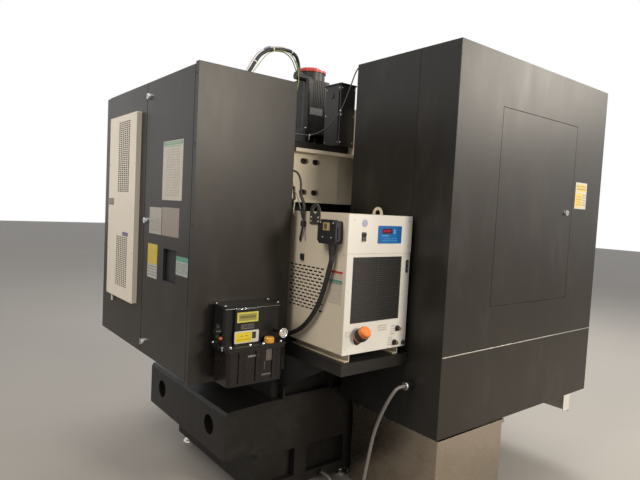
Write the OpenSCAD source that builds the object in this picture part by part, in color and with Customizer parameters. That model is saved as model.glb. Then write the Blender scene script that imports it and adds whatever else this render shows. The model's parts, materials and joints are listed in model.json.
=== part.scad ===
// Vertical machining center seen from its rear left corner.
// Millimetres, +Z up, -Y is the operator's side, origin on the floor under the middle.

/* [Guard around the tool magazine] */
// Distance of the guard's outer side face from the middle
side_x = 1170; // [1130:10:1240]
// Width of the guard's rear panel
guard_w = 670; // [640:10:690]
// Depth of the guard
guard_d = 1410; // [1380:10:1440]
// Height of the guard
guard_h = 1800; // [1780:10:1860]
// Bottom edge of the guard above the floor
guard_z = 500; // [480:5:510]
// Rear face of the guard
guard_y = 285; // [275:5:300]
// Sheet thickness of guards and panels
sheet = 3; // [2:0.5:4]
// Width of the access door
hatch_w = 732; // [700:4:740]
// Height of the access door
hatch_h = 968; // [900:4:980]
// Lower edge of the access door above the floor
hatch_z = 1090; // [1070:5:1120]
// Distance of the access door from the guard's rear face
hatch_in = 344; // [330:2:360]
// Thickness of the access door
hatch_t = 16; // [12:1:20]

/* [Electrical cabinet] */
// Width of the cabinet
cab_w = 1205; // [1160:5:1220]
// Depth of the cabinet
cab_d = 480; // [460:5:520]
// Height of the cabinet
cab_h = 1358; // [1340:2:1400]
// Bottom of the cabinet above the floor
cab_z = 750; // [740:2:760]
// Outer left face of the cabinet
cab_left = -600; // [-604:1:-590]
// Gap between the column and the cabinet
cab_gap = 46; // [42:1:60]
// Thickness of the cabinet doors
door_t = 15; // [12:1:20]
// Width of the frame strip beside the plain door
strip_w = 32; // [28:1:36]
// Width of the plain door
plain_w = 531; // [510:1:540]
// Gap between a door and what is beside it
door_gap = 2.5; // [2:0.5:4]
// Radius of a cabinet lock
lock_r = 11; // [9:0.5:13]

/* [Cabinet cooler] */
// Width of the cooler
cooler_w = 420; // [400:5:440]
// Height of the cooler
cooler_h = 975; // [950:5:990]
// Lower edge of the cooler above the floor
cooler_z = 992; // [980:2:1000]
// Left edge of the cooler
cooler_x = 38; // [30:1:50]
// Distance that the cooler stands proud of its door
cooler_t = 25; // [20:1:30]
// Pitch of the grille slots across
grille_px = 30; // [28:1:32]
// Pitch of the grille slots in height
grille_pz = 10.4; // [10:0.1:10.8]

/* [Column and base] */
// Width of the base
base_w = 940; // [900:10:960]
// Height of the base's top
base_h = 543; // [530:1:560]
// Rear end of the base
base_y = 980; // [960:5:1000]
// Front end of the base
base_front = -1050; // [-1060:5:-1030]
// Width of the column's upper part
column_w = 670; // [650:2:680]
// Step between the base's side and the column's foot
column_step = 40; // [30:2:60]
// Front face of the column
column_y = 140; // [136:1:144]
// Depth of the column
column_d = 560; // [540:5:566]
// Top of the column above the floor
column_top = 1880; // [1870:1:1900]

/* [Axes] */
// Distance of the spindle axis from the column's face
throat = 540; // [520:5:546]
// Height of the spindle nose at rest
nose_z = 1235; // [1230:1:1250]
// Width of a guide rail
rail_w = 45; // [40:1:50]
// Height of a guide rail
rail_h = 40; // [36:1:44]
// Clearance between a guide block and its rail
guide_c = 0.3; // [0.2:0.05:0.4]
// Radius of a feed screw
screw_r = 20; // [18:1:22]
// Running clearance of a shaft
run_c = 0.05; // [0.03:0.01:0.08]
// Length of the table
table_l = 1100; // [1050:10:1120]
// Width of the table
table_w = 500; // [480:10:520]
// Height of the table's face above the floor
table_z = 850; // [845:1:856]
// Thickness of the table
table_t = 75; // [70:1:80]
// Number of T-slots
slot_n = 5; // [3:1:5]

/* [Tool changer] */
// Distance between spindle and exchange position
exchange_l = 560; // [550:5:566]
// Number of tool pots
pot_n = 24; // [20:1:24]
// Radius of the circle of pots
pot_ring = 300; // [296:1:306]
// Radius of a tool pot
pot_r = 35; // [33:0.5:35.5]
// Length of a tool pot
pot_l = 100; // [90:1:104]
// Height of the magazine disc's axis
disc_z = 1640; // [1636:1:1650]

/* [Chiller] */
// Depth of the chiller's front, along the machine
chiller_w = 395; // [380:5:400]
// Height of the chiller
chiller_h = 611; // [600:1:625]
// Length of the chiller, across the machine
chiller_d = 430; // [410:5:440]
// Bottom of the chiller's housing above the floor
chiller_z = 900; // [890:1:905]
// Outer left face of the chiller
chiller_x = -967; // [-975:1:-955]
// Number of louvre rows
louvre_n = 13; // [9:1:14]
// Pitch of the louvre rows
louvre_pz = 16; // [15:0.5:18]
// Height of the lowest louvre row above the chiller's bottom
louvre_z = 160; // [140:5:170]

/* [Lubricator] */
// Width of the lubricator
lube_w = 286; // [270:2:300]
// Depth of the lubricator
lube_d = 150; // [140:2:160]
// Height of the lubricator's housing
lube_h = 170; // [160:2:180]
// Height of the lubricator's tank
lube_tank_h = 155; // [140:1:160]
// Top of the lubricator above the floor
lube_top = 1100; // [1090:1:1110]

/* [Front enclosure] */
// Front face of the enclosure
front_y = -1203; // [-1206:1:-1200]
// Top of the enclosure above the floor
front_top = 2200; // [2150:10:2240]
// Width of the door opening
opening_w = 1100; // [1050:10:1120]
// Height of the door opening
opening_h = 1150; // [1100:10:1180]
// Sill of the door opening above the floor
sill_z = 850; // [840:5:860]
// Travel of each front door
door_travel = 480; // [440:10:490]

/* [Coolant tank] */
// Length of the tank along the machine
tank_l = 540; // [520:5:560]
// Width of the tank
tank_w = 600; // [580:5:604]
// Height of the tank
tank_h = 445; // [430:1:450]
// Gap between the tank and the base
tank_gap = 25; // [20:1:40]

/* [Hidden] */
$fn = 48;
eps = 0.01;
seat = 0.3;
rocker_r = 17;
guard_x0 = -side_x;
guard_x1 = guard_x0 + guard_w;
guard_y0 = guard_y - guard_d;
guard_top = guard_z + guard_h;
hatch_y1 = guard_y - hatch_in;
hatch_y0 = hatch_y1 - hatch_w;
lip_x = guard_x0 + hatch_t + seat;
column_back = column_y + column_d;
cab_y0 = column_back + cab_gap;
cab_y1 = cab_y0 + cab_d;
cab_x1 = cab_left + cab_w;
cab_top = cab_z + cab_h;
plain_x0 = cab_left + strip_w;
plain_x1 = plain_x0 + plain_w;
cold_x0 = plain_x1 + 2 * door_gap;
cold_x1 = cab_x1 - door_gap;
door_y = cab_y1 + 0.5;
door_z0 = cab_z + 12;
door_h = cab_h - 24;
lock_x = plain_x1 - 27;
lock_zs = [cab_z + 70, cab_z + 676, cab_top - 78];
column_foot_w = base_w - 2 * column_step;
wall_y = column_y - 20;
spindle_y = column_y - throat;
table_y = spindle_y;
rail_gap_y = 300;
rail_gap_z = 230;
rail_gap_x = 170;
z_screw_y = column_y + 85;
y_screw_z = 515;
x_screw_z = 672;
arm_r = exchange_l / 2;
arm_gap = 6;
pot_x = -exchange_l;
disc_x = pot_x + 45;
chiller_y1 = 704;
chiller_y0 = chiller_y1 - chiller_w;
chiller_top = chiller_z + chiller_h;
window_y0 = chiller_y0 + 56;
window_y1 = chiller_y1 - 36;
window_z0 = chiller_z + 134;
window_z1 = chiller_top - 186;
seam_z = chiller_top - 170;
rocker_y = chiller_y1 - 90;
rocker_z = chiller_top - 97;
neck_y = chiller_y1 - 85;
neck_z = chiller_z + 65;
shelf_h = 54;
skid_h = 40;
lube_x1 = cab_left - 3;
lube_x0 = cab_left - 3 - lube_d;
lube_y0 = cab_y0 + 109;
tank_y1 = 180;
tank_x1 = -base_w / 2 - tank_gap;
tank_x0 = tank_x1 - tank_w;
gland = [-1000, 713];
right_x = side_x + 12;
motor_h = 355;
gland_x = -base_w / 2 - 16;
cable_z = 890;
lube_back = 48;
filler_y = lube_y0 + 70;
gauge_y = lube_y0 + 25;
gauge_z = lube_top - 123;

// Points of the cords, chosen along their routes
conduit_route = [[-1000, 330, 713], [-1000, 341, 713], [-1000, 352, 713], [-992, 382, 700], [-962, 403, 632],
    [-925, 406, 550], [-890, 404, 460], [-866, 402, 360], [-845, 402, 250], [-818, 400, 140], [-765, 396, 52],
    [-700, 390, 17], [gland_x - 150, 386, 20], [gland_x - 110, 383, 44], [gland_x - 78, 381, 74],
    [gland_x - 44, 380, 85], [gland_x - 22, 380, 85], [gland_x, 380, 85]];
plug_route = [[-891, 728, 1328], [-891, 728, 1316], [-891, 728, 1304], [-876, 727, 1258], [-850, 726, 1180],
    [-813, 725, 1101], [-764, 725, 1032], [-692, 725, 966], [-620, 725, 929], [-575, 724, 908], [-540, 717,
        896],
    [-508, 698, cable_z], [-484, 690, cable_z], [-466, 700, cable_z], [-460, 716, cable_z], [-460, 728,
        cable_z],
    [-460, 738, cable_z]];
motor_route = [[-60, 362, 2325], [-60, 362, 2340], [-60, 362, 2355], [-70, 389, 2400], [-80, 450, 2419],
    [-90, 550, 2403], [-88, 600, 2385], [-86, 650, 2344], [-92, 700, 2268], [-98, 742, 2206], [-100, 765,
        2176],
    [-100, 775, 2158], [-100, 775, 2145], [-100, 775, 2132]];
sensor_route = [[-532, 746, 1884], [-532, 734, 1884], [-532, 722, 1884], [-522, 685, 1882], [-492, 620, 1889],
    [-468, 560, 1898], [-448, 480, 1925], [-450, 420, 1970], [-461, 360, 2050], [-466, 310, 2170],
    [-464, 278, 2250], [-468, 263, 2284], [-480, 262, 2290], [-490, 262, 2290], [-500, 262, 2290]];

function unit(v) = v / norm(v);
function tangent(p, i) = unit(p[min(i + 1, len(p) - 1)] - p[max(i - 1, 0)]);
function carried(v, t) = unit(v - (v * t) * t);
function across(p, i) = carried(i == 0 ? [0.36, 0.48, 0.8] : across(p, i - 1), tangent(p, i));
// Points of a smooth curve through the route, with one more point in the middle of each stretch
function smooth(p) = [for (i = [0:2 * len(p) - 2]) i % 2 == 0 ? p[i / 2] :
    let (a = (i - 1) / 2, before = p[max(a - 1, 0)], after = p[min(a + 2, len(p) - 1)])
    (9 * (p[a] + p[a + 1]) - before - after) / 16];

module box(low, high) translate(low) cube(high - low);

// A tube swept along a route
module swept(route, r, sides = 8) {
    rings = len(route);
    points = [for (i = [0:rings - 1]) let (t = tangent(route, i), u = across(route, i), w = cross(t, u))
        for (k = [0:sides - 1]) route[i] + r * (cos(360 * k / sides) * u + sin(360 * k / sides) * w)];
    walls = [for (i = [0:rings - 2], k = [0:sides - 1]) let (n = (k + 1) % sides)
        [(i + 1) * sides + k, (i + 1) * sides + n, i * sides + n, i * sides + k]];
    ends = [[for (k = [0:sides - 1]) k], [for (k = [sides - 1:-1:0]) (rings - 1) * sides + k]];
    polyhedron(points, concat(walls, ends));
}

// A plate of rounded outline, standing in the XZ plane and facing +Y
module plate_xz(low, high, y, t, r = 0) translate([0, y + t, 0]) rotate([90, 0, 0]) linear_extrude(t)
    rounded(low, high, r);

// A plate of rounded outline, standing in the YZ plane, from x to x + t
module plate_yz(low, high, x, t, r = 0) translate([x, 0, 0]) rotate([90, 0, 90]) linear_extrude(t)
    rounded(low, high, r);

module rounded(low, high, r) {
    if (r == 0) translate(low) square(high - low);
    else {
        translate(low + [r, 0]) square([high[0] - low[0] - 2 * r, high[1] - low[1]]);
        translate(low + [0, r]) square([high[0] - low[0], high[1] - low[1] - 2 * r]);
        for (x = [low[0] + r, high[0] - r], y = [low[1] + r, high[1] - r]) translate([x, y]) circle(r);
    }
}

module rod_x(y, z, x0, x1, r) translate([x0, y, z]) rotate([0, 90, 0]) cylinder(r = r, h = x1 - x0);
module rod_y(x, z, y0, y1, r) translate([x, y0, z]) rotate([-90, 0, 0]) cylinder(r = r, h = y1 - y0);
module rod_z(x, y, z0, z1, r) translate([x, y, z0]) cylinder(r = r, h = z1 - z0);

// Ribbed machine bed: pedestal, upper deck with a rear overhang, screw channel and cored side pockets
module base_casting() color("#24221f") difference() {
    union() {
        box([-base_w / 2, base_front, 60], [base_w / 2, base_y - 191, 300]);
        translate([-base_w / 2, 0, 0]) rotate([90, 0, 90]) linear_extrude(base_w) polygon([[base_front, 280],
            [base_y - 191, 280], [base_y - 150, 293], [base_y, 293], [base_y, base_h - 30],
            [base_y - 10, base_h - 12], [column_back + 60, base_h], [base_front, base_h]]);
        rod_x(380, 85, gland_x, 1 - base_w / 2, 20);
    }
    box([-110, base_front + 60, 440], [110, column_y - 60, base_h + 1]);
    for (y = [-860, -500, -140, 220, 560], s = [-1, 1]) scale([s, 1, 1])
        box([base_w / 2 - 40, y, 110], [base_w / 2 + 1, y + 260, 262]);
    rod_y(0, y_screw_z, base_front - 1, base_front + 61, 14 + run_c);
    rod_y(0, y_screw_z, column_y - 61, column_y - 20, 14 + run_c);
    for (x = [-300, 300]) rod_y(x, 420, base_y - 80, base_y + 1, 50);
}

// Screw jacks with pads and lock nuts
module levelling_feet() color("silver")
    for (x = [-base_w / 2 + 60, base_w / 2 - 60],
        y = [base_front + 80, spindle_y, column_y + 40, base_y - 250]) {
        translate([x, y, 0]) rotate_extrude() polygon([[0, 0], [48, 0], [48, 10], [42, 16], [14, 20], [14,
            60],
            [0, 60]]);
        translate([x, y, 40]) difference() {
            cylinder(r = 24, h = 20, $fn = 6);
            translate([0, 0, -1]) cylinder(r = 14 + run_c, h = 22);
        }
    }

// Column casting: flared foot, ribbed pockets, a recess for the feed screw and a bridge at the top
module column() color("#24221f") difference() {
    union() {
        translate([0, column_back, 0]) rotate([90, 0, 0]) linear_extrude(column_d) polygon([
            [-column_foot_w / 2, base_h], [column_foot_w / 2, base_h], [column_foot_w / 2, 760],
            [column_w / 2, 1250], [column_w / 2, column_top], [-column_w / 2, column_top],
            [-column_w / 2, 1250], [-column_foot_w / 2, 760]]);
        box([-column_w / 2 - 15, 282, 1540], [-column_w / 2 + 5, 600, 1830]);
    }
    box([-150, column_y - 1, 640], [150, column_y + 190, column_top - 60]);
    box([-150, column_y - 1, column_top - 70], [150, column_y + 40, column_top + 1]);
    for (z = [700, 1090, 1480]) box([-190, column_back - 90, z], [190, column_back + 1, z + 320]);
    for (s = [-1, 1]) scale([s, 1, 1]) box([column_w / 2 - 50, column_y + 120, 1300],
        [column_foot_w / 2, column_back - 120, 1500]);
    rod_z(0, z_screw_y, column_top - 61, column_top + 1, 14 + run_c);
    rod_z(0, z_screw_y, 600, 641, 14 + run_c);
}

module rail_z(x) translate([x, column_y, 0]) difference() {
    box([-rail_w / 2, -rail_h, table_z + 30], [rail_w / 2, 0, column_top - 10]);
    for (s = [-1, 1]) translate([s * rail_w / 2, -rail_h + 14, table_z + 20]) rotate([0, 0, 45])
        translate([-4, -4, 0]) cube([8, 8, column_top]);
}

module rail_y(x) translate([x, 0, base_h]) difference() {
    box([-rail_w / 2, base_front + 20, 0], [rail_w / 2, column_y - 10, rail_h]);
    for (s = [-1, 1]) translate([s * rail_w / 2, base_front, rail_h - 14]) rotate([-90, 0, 0])
        rotate([0, 0, 45]) translate([-4, -4, 0]) cube([8, 8, 1400]);
}

// Linear guide rails of the Y and Z axes, with their side grooves
module guide_rails() color("gainsboro") {
    for (x = [-rail_gap_y, rail_gap_y]) rail_y(x);
    for (x = [-rail_gap_z, rail_gap_z]) rail_z(x);
}

// A feed screw with two journals, lying along Z
module feed_screw(l, bearing) {
    cylinder(r = screw_r, h = l);
    translate([0, 0, -bearing]) cylinder(r = 14, h = bearing + eps);
    translate([0, 0, l - eps]) cylinder(r = 14, h = bearing);
}

y_screw_l = column_y - 60 - (base_front + 60) - 2;
z_screw_l = column_top - 60 - 640 - 2;
x_screw_l = 2 * 500 - 2;

module y_screw() color("silver") translate([0, base_front + 61, y_screw_z]) rotate([-90, 0, 0])
    feed_screw(y_screw_l, 36);
module z_screw() color("silver") translate([0, z_screw_y, 641]) feed_screw(z_screw_l, 38);
module x_screw() color("silver") translate([-499, table_y, x_screw_z]) rotate([0, 90, 0])
    feed_screw(x_screw_l, 26);

// A servo motor: finned square body with rounded corners, its flange at z = 0
module servo(w, h, connector = true) {
    linear_extrude(14) rounded([-w / 2, -w / 2], [w / 2, w / 2], 12);
    translate([0, 0, 14 - eps]) linear_extrude(h - 64) difference() {
        rounded([-w / 2 + 4, -w / 2 + 4], [w / 2 - 4, w / 2 - 4], 24);
        for (a = [0:90:270], k = [-3:3]) rotate(a) translate([w / 2 - 4, k * w / 14]) square([5, 4], center
            = true);
    }
    translate([0, 0, h - 50 - eps]) cylinder(r = w / 2 - 8, h = 50);
}

module y_motor() color("#1c1c1c") translate([0, base_front, y_screw_z]) rotate([90, 0, 0]) servo(120, 140);
module x_motor() color("#1c1c1c") translate([530, table_y, x_screw_z]) rotate([0, 90, 0]) servo(110, 140);

// Z servo motor on its hollow mounting block, with an elbow connector
module z_motor() color("#1f1e1c") translate([0, z_screw_y, column_top]) {
    difference() {
        linear_extrude(105 + eps) rounded([-115, -95], [115, 115], 10);
        translate([0, 0, -1]) cylinder(r = 50, h = 104);
        for (s = [-1, 1]) box([s * 85 - 40, -80, 30], [s * 85 + 40, 80, 85]);
    }
    translate([0, 0, 105]) servo(188, motor_h);
    rod_y(-60, 415, 50, 158, 21);
    translate([-60, 137, 415]) linear_extrude(24) rounded([-19, -19], [19, 19], 6);
    rod_z(-60, 137, 430, 445, 14);
}

// Red fan cap ring over the Z motor
module motor_cap() color("#b03228") translate([0, z_screw_y, column_top + 105 + motor_h]) difference() {
    union() {
        cylinder(r = 92, h = 14);
        translate([0, 0, 14 - eps]) cylinder(r1 = 92, r2 = 80, h = 10);
    }
    for (a = [0:20:340], r = [30, 52, 74]) rotate(a + r) translate([r, 0, 8]) cylinder(r = 4, h = 20);
}

// Tall terminal box on the column's top, with its lid, a duct and a knockout
module junction_box() color("#23211e") translate([-385, column_y + 50, column_top]) {
    linear_extrude(340) rounded([0, 0], [135, 110], 6);
    translate([-6, -3, 334]) linear_extrude(7) rounded([0, 0], [147, 119], 6);
    box([10, 109, 20], [30, 116, 300]);
    rod_y(75, 280, 108, 114, 16);
}

// Saddle with guide blocks on the Y rails and bearing brackets for the X screw
module saddle() color("#3b3833") difference() {
    union() {
        box([-400, table_y - 240, base_h + rail_h + 7], [400, table_y + 240, 690]);
        box([-530, table_y - 215, 615], [530, table_y + 215, 690]);
        for (s = [-1, 1]) box([s * 515 - 15, table_y - 50, 620], [s * 515 + 15, table_y + 50, 705]);
        for (x = [-rail_gap_y, rail_gap_y], y = [-180, 180]) box([x - 50, table_y + y - 55, base_h + 8],
            [x + 50, table_y + y + 55, base_h + rail_h + 8]);
        box([-45, table_y - 40, y_screw_z - 42], [45, table_y + 40, 600]);
    }
    for (x = [-rail_gap_y, rail_gap_y]) box([x - rail_w / 2 - guide_c, table_y - 300, base_h - 10],
        [x + rail_w / 2 + guide_c, table_y + 300, base_h + rail_h + guide_c]);
    rod_y(0, y_screw_z, table_y - 50, table_y + 50, screw_r + run_c);
    box([-500, table_y - 60, 632], [500, table_y + 60, 691]);
    rod_x(table_y, x_screw_z, -532, 532, 14 + run_c);
}

module x_rails() color("gainsboro") for (s = [-1, 1]) translate([0, table_y + s * rail_gap_x, 690])
    difference() {
    box([-520, -rail_w / 2, 0], [520, rail_w / 2, rail_h]);
    for (q = [-1, 1]) translate([-530, q * rail_w / 2, rail_h - 14]) rotate([0, 90, 0])
        rotate([0, 0, 45]) translate([-4, -4, 0]) cube([8, 8, 1060]);
}

// Table with T-slots, end troughs, guide blocks and the nut bracket
module work_table() color("#8f8d88") difference() {
    union() {
        box([-table_l / 2, table_y - table_w / 2, table_z - table_t], [table_l / 2, table_y + table_w / 2,
            table_z]);
        for (x = [-260, 260], s = [-1, 1]) box([x - 60, table_y + s * rail_gap_x - 45, 702],
            [x + 60, table_y + s * rail_gap_x + 45, table_z - table_t + 1]);
        box([-200, table_y - 120, 735], [200, table_y + 120, table_z - table_t + 1]);
        box([-50, table_y - 42, 640], [50, table_y + 42, 740]);
    }
    for (k = [0:slot_n - 1]) translate([0, table_y + (k - (slot_n - 1) / 2) * 100, 0]) {
        box([-table_l, -9, table_z - 20], [table_l, 9, table_z + 1]);
        box([-table_l, -15, table_z - 32], [table_l, 15, table_z - 18]);
    }
    for (s = [-1, 1]) box([-600, table_y + s * rail_gap_x - rail_w / 2 - guide_c, 680],
        [600, table_y + s * rail_gap_x + rail_w / 2 + guide_c, 690 + rail_h + guide_c]);
    rod_x(table_y, x_screw_z, -60, 60, screw_r + run_c);
}

// Head casting: stepped side profile, guide blocks, nut bracket and the spindle's bore
module spindle_head() color("#e3e0d6") difference() {
    union() {
        translate([-140, 0, 0]) rotate([90, 0, 90]) linear_extrude(280) polygon([
            [spindle_y - 130, nose_z + 185], [spindle_y + 130, nose_z + 185], [spindle_y + 190, nose_z + 130],
            [column_y - 80, nose_z + 60], [column_y - 56, nose_z + 60], [column_y - 56, nose_z + 660],
            [spindle_y + 150, nose_z + 660], [spindle_y + 100, nose_z + 620], [spindle_y - 100, nose_z + 620],
            [spindle_y - 130, nose_z + 560]]);
        box([-280, column_y - 80, nose_z + 90], [280, column_y - 52, nose_z + 620]);
        for (x = [-rail_gap_z, rail_gap_z], z = [110, 470]) box([x - 48, column_y - 60, nose_z + z],
            [x + 48, column_y - 8, nose_z + z + 130]);
        box([-45, column_y - 60, nose_z + 300], [45, z_screw_y + 45, nose_z + 400]);
        rod_z(0, spindle_y, nose_z + 60, nose_z + 200, 88);
        rod_z(0, spindle_y, nose_z + 30, nose_z + 61, 78);
    }
    for (x = [-rail_gap_z, rail_gap_z]) box([x - rail_w / 2 - guide_c, column_y - rail_h - guide_c, nose_z],
        [x + rail_w / 2 + guide_c, column_y + 10, nose_z + 700]);
    rod_z(0, z_screw_y, nose_z + 290, nose_z + 410, screw_r + run_c);
    rod_z(0, spindle_y, nose_z + 10, nose_z + 560, 60 + run_c);
    rod_z(0, spindle_y, nose_z + 550, nose_z + 700, 45);
    for (a = [0:45:315]) translate([0, spindle_y, 0]) rotate(a) rod_z(68, 0, nose_z + 29, nose_z + 36, 3.5);
}

// Spindle rotor with the steep taper bore in its nose
module spindle() color("silver") translate([0, spindle_y, nose_z]) rotate_extrude() polygon([
    [22.2, 0], [44, 0], [44, 30], [60, 34], [60, 540], [30, 545], [30, 590], [0, 590], [0, 75], [12, 75],
        [12, 66]]);

module spindle_motor() color("#1f1e1c") translate([0, spindle_y, nose_z + 620]) {
    difference() {
        linear_extrude(50 + eps) rounded([-94, -94], [94, 94], 10);
        translate([0, 0, -1]) cylinder(r = 50, h = 50);
    }
    translate([0, 0, 50]) servo(200, 360);
}

// Cast arm that holds the tool changer: web with obround holes, flanges, upright gusset and end plate
module magazine_bracket() color("#e3dcc8") difference() {
    x0 = -column_w / 2 - 35;
    union() {
        box([x0, 278, 1560], [x0 + 20, 600, 1830]);
        box([x0 + 18, -290, 1560], [x0 + 33, 281, 1830]);
        for (z = [1555, 1817]) box([x0 - 40, -290, z], [x0 + 33, 200, z + 18]);
        for (z = [1555, 1817]) box([x0 - 40, 190, z], [x0 + 20, 600, z + 18]);
        translate([0, 187, 0]) rotate([90, 0, 0]) linear_extrude(14) polygon([[-378, 1820], [-340, 1820],
            [-340, 1880], [-300, 1880], [-300, 1908], [-363, 1967], [-378, 2010], [-378, 2090], [-470, 2090],
            [-470, 2020], [-420, 1820]]);
        box([-470, -290, 1990], [-430, 187, 2010]);
        box([x0 - 40, -304, 1555], [-170, -286, 1835]);
        box([-470, -290, 1830], [-452, -270, 2010]);
        box([-470, -304, 1817], [-372, -270, 1835]);
    }
    for (y = [435, 515], z = [1609, 1773]) for (k = [-1, 1]) {
        rod_x(y + k * 11, z, x0 - 1, x0 + 21, 15);
        box([x0 - 1, y - 11, z - 15], [x0 + 21, y + 11, z + 15]);
    }
}

// Magazine disc with its ring of pots; one place is left for the flipping pot's ears
module magazine_disc() color("#55524c") translate([0, spindle_y, disc_z]) {
    step = 360 / pot_n;
    difference() {
        union() {
            rod_x(0, 0, disc_x, disc_x + 18, pot_ring + 20);
            rod_x(0, 0, disc_x - 30, disc_x + 1, 80);
            for (k = [1:pot_n - 1]) rotate([k * step, 0, 0]) rod_x(0, -pot_ring, disc_x - pot_l, disc_x +
                1, pot_r);
            for (s = [-1, 1]) box([pot_x - 14, s * (pot_r + 4.2) - 1.8, -pot_ring - 16],
                [disc_x + 1, s * (pot_r + 4.2) + 1.8, -pot_ring + 16]);
        }
        for (k = [1:pot_n - 1]) rotate([k * step, 0, 0]) translate([disc_x - pot_l - 1, 0, -pot_ring])
            rotate([0, 90, 0]) cylinder(r1 = 23, r2 = 14, h = 70);
        for (a = [0:60:300]) rotate([a + 30, 0, 0]) rod_x(0, 180, disc_x - 1, disc_x + 20, 48);
        rod_x(0, 0, disc_x - 40, disc_x + 30, 30 + run_c);
        rod_y(pot_x, -pot_ring, -60, 60, 6 + run_c);
    }
}

// Pot that flips down to hand its tool to the arm
module exchange_pot() color("#55524c") translate([pot_x, spindle_y, disc_z - pot_ring]) difference() {
    union() {
        rod_x(0, 0, 22 - pot_l, 22, pot_r - 1);
        rod_y(0, 0, -pot_r - 6, pot_r + 6, 6);
    }
    translate([21 - pot_l, 0, 0]) rotate([0, 90, 0]) cylinder(r1 = 23, r2 = 14, h = 70);
}

// Cam box with the arm motor, the magazine's shaft and its geared motor
module changer_drive() color("#c9c2ae") difference() {
    union() {
        translate([0, 0, nose_z + 55]) linear_extrude(470) rounded([-arm_r - 112, spindle_y - 110],
            [-arm_r + 112, spindle_y + 96], 14);
        rod_z(-arm_r, spindle_y, nose_z + 40, nose_z + 56, 70);
        rod_x(spindle_y, disc_z, disc_x - 36, -arm_r - 100, 30);
        rod_x(spindle_y, disc_z, disc_x + 19, -arm_r - 100, 95);
        rod_z(-arm_r, spindle_y - 30, nose_z + 524, nose_z + 700, 62);
        box([-arm_r - 70, spindle_y - 100, nose_z + 524], [-arm_r + 70, spindle_y + 40, nose_z + 540]);
        rod_y(-arm_r - 60, disc_z + 60, spindle_y - 250, spindle_y - 100, 50);
    }
    rod_z(-arm_r, spindle_y, nose_z + 39, nose_z + 330, 30 + run_c);
}

module arm_shaft() color("silver") {
    rod_z(-arm_r, spindle_y, nose_z - arm_gap + seat, nose_z + 200, 30);
    rod_z(-arm_r, spindle_y, nose_z - arm_gap - 26, nose_z, 20);
}

// Double ended tool arm with a half round jaw at each end
module change_arm() color("#b8b5ae") translate([-arm_r, spindle_y, nose_z - arm_gap - 30]) difference() {
    union() {
        cylinder(r = 62, h = 30);
        for (s = [-1, 1]) translate([0, s * arm_r, 0]) cylinder(r = 44, h = 30);
        box([-34, -arm_r, 0], [34, arm_r, 30]);
    }
    translate([0, 0, -1]) cylinder(r = 20 + run_c, h = 32);
    for (s = [-1, 1]) {
        translate([0, s * arm_r, -1]) cylinder(r = 32, h = 32);
        box(s > 0 ? [-60, arm_r, -1] : [0, -arm_r - 32, -1], s > 0 ? [0, arm_r + 32, 32] : [60, -arm_r, 32]);
        for (q = [-1, 1]) translate([q * 18, s * arm_r / 2, -1]) cylinder(r = 7, h = 32);
    }
}

// Outer side sheet of the guard, with folded edges and the hatch opening
module guard_side() color("#23211e") difference() {
    union() {
        plate_yz([guard_y0, guard_z], [guard_y - sheet - seat, guard_top], guard_x0, sheet);
        box([guard_x0, guard_y0, guard_z], [guard_x0 + 30, guard_y - sheet - seat, guard_z + sheet]);
        box([guard_x0, guard_y0, guard_top - sheet], [guard_x0 + 30, guard_y - sheet - seat, guard_top]);
        box([guard_x0, guard_y0, guard_z], [guard_x0 + 30, guard_y0 + sheet, guard_top]);
        for (y = [hatch_y0 - 22, hatch_y1 - 12]) box([lip_x, y, hatch_z - 22],
            [lip_x + sheet, y + 34, hatch_z + hatch_h + 22]);
        for (z = [hatch_z - 22, hatch_z + hatch_h - 12]) box([lip_x, hatch_y0 - 22, z],
            [lip_x + sheet, hatch_y1 + 22, z + 34]);
        for (y = [hatch_y0 - 22, hatch_y1 + 22 - sheet]) box([guard_x0, y, hatch_z - 22],
            [lip_x + sheet, y + sheet, hatch_z + hatch_h + 22]);
        for (z = [hatch_z - 22, hatch_z + hatch_h + 22 - sheet]) box([guard_x0, hatch_y0 - 22, z],
            [lip_x + sheet, hatch_y1 + 22, z + sheet]);
    }
    box([guard_x0 - 1, hatch_y0, hatch_z], [guard_x0 + sheet + 1, hatch_y1, hatch_z + hatch_h]);
}

// Rear sheet of the guard with its corner return, vertical seam and cable gland
module guard_rear() color("#23211e") difference() {
    union() {
        plate_xz([guard_x0, guard_z], [guard_x1, guard_top], guard_y - sheet, sheet);
        box([guard_x1 - sheet, guard_y - 60, guard_z], [guard_x1, guard_y, guard_top]);
        box([guard_x0 + 31, guard_y - 40, guard_z], [guard_x1, guard_y, guard_z + sheet]);
        box([guard_x0 + 233 - 18, guard_y - sheet - 12, guard_z], [guard_x0 + 233 + 18, guard_y - sheet +
            1, guard_top]);
        translate([gland[0], guard_y, gland[1]]) rotate([-90, 0, 0]) cylinder(r = 24, h = 16, $fn = 6);
        rod_y(gland[0], gland[1], guard_y + 15, guard_y + 45, 18);
    }
    box([guard_x0 + 232, guard_y - 2, guard_z - 1], [guard_x0 + 234, guard_y + 1, guard_top + 1]);
    rod_y(gland[0], gland[1], guard_y - 20, guard_y + 44, 12);
}

// Access door of the magazine: a folded pan
module guard_door() color("#23211e") difference() {
    plate_yz([hatch_y0 + door_gap, hatch_z + door_gap], [hatch_y1 - door_gap, hatch_z + hatch_h - door_gap],
        guard_x0, hatch_t, 3);
    plate_yz([hatch_y0 + 40, hatch_z + 6], [hatch_y1 - 8, hatch_z + hatch_h - 6], guard_x0 + sheet, hatch_t);
    rod_x(hatch_y0 + 66, hatch_z + 482, guard_x0 - 1, guard_x0 + 30, lock_r + run_c);
    box([guard_x0 + sheet, hatch_y0 + 50, hatch_z + 8], [guard_x0 + 30, hatch_y1 - 8, hatch_z + 300]);
}

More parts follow.
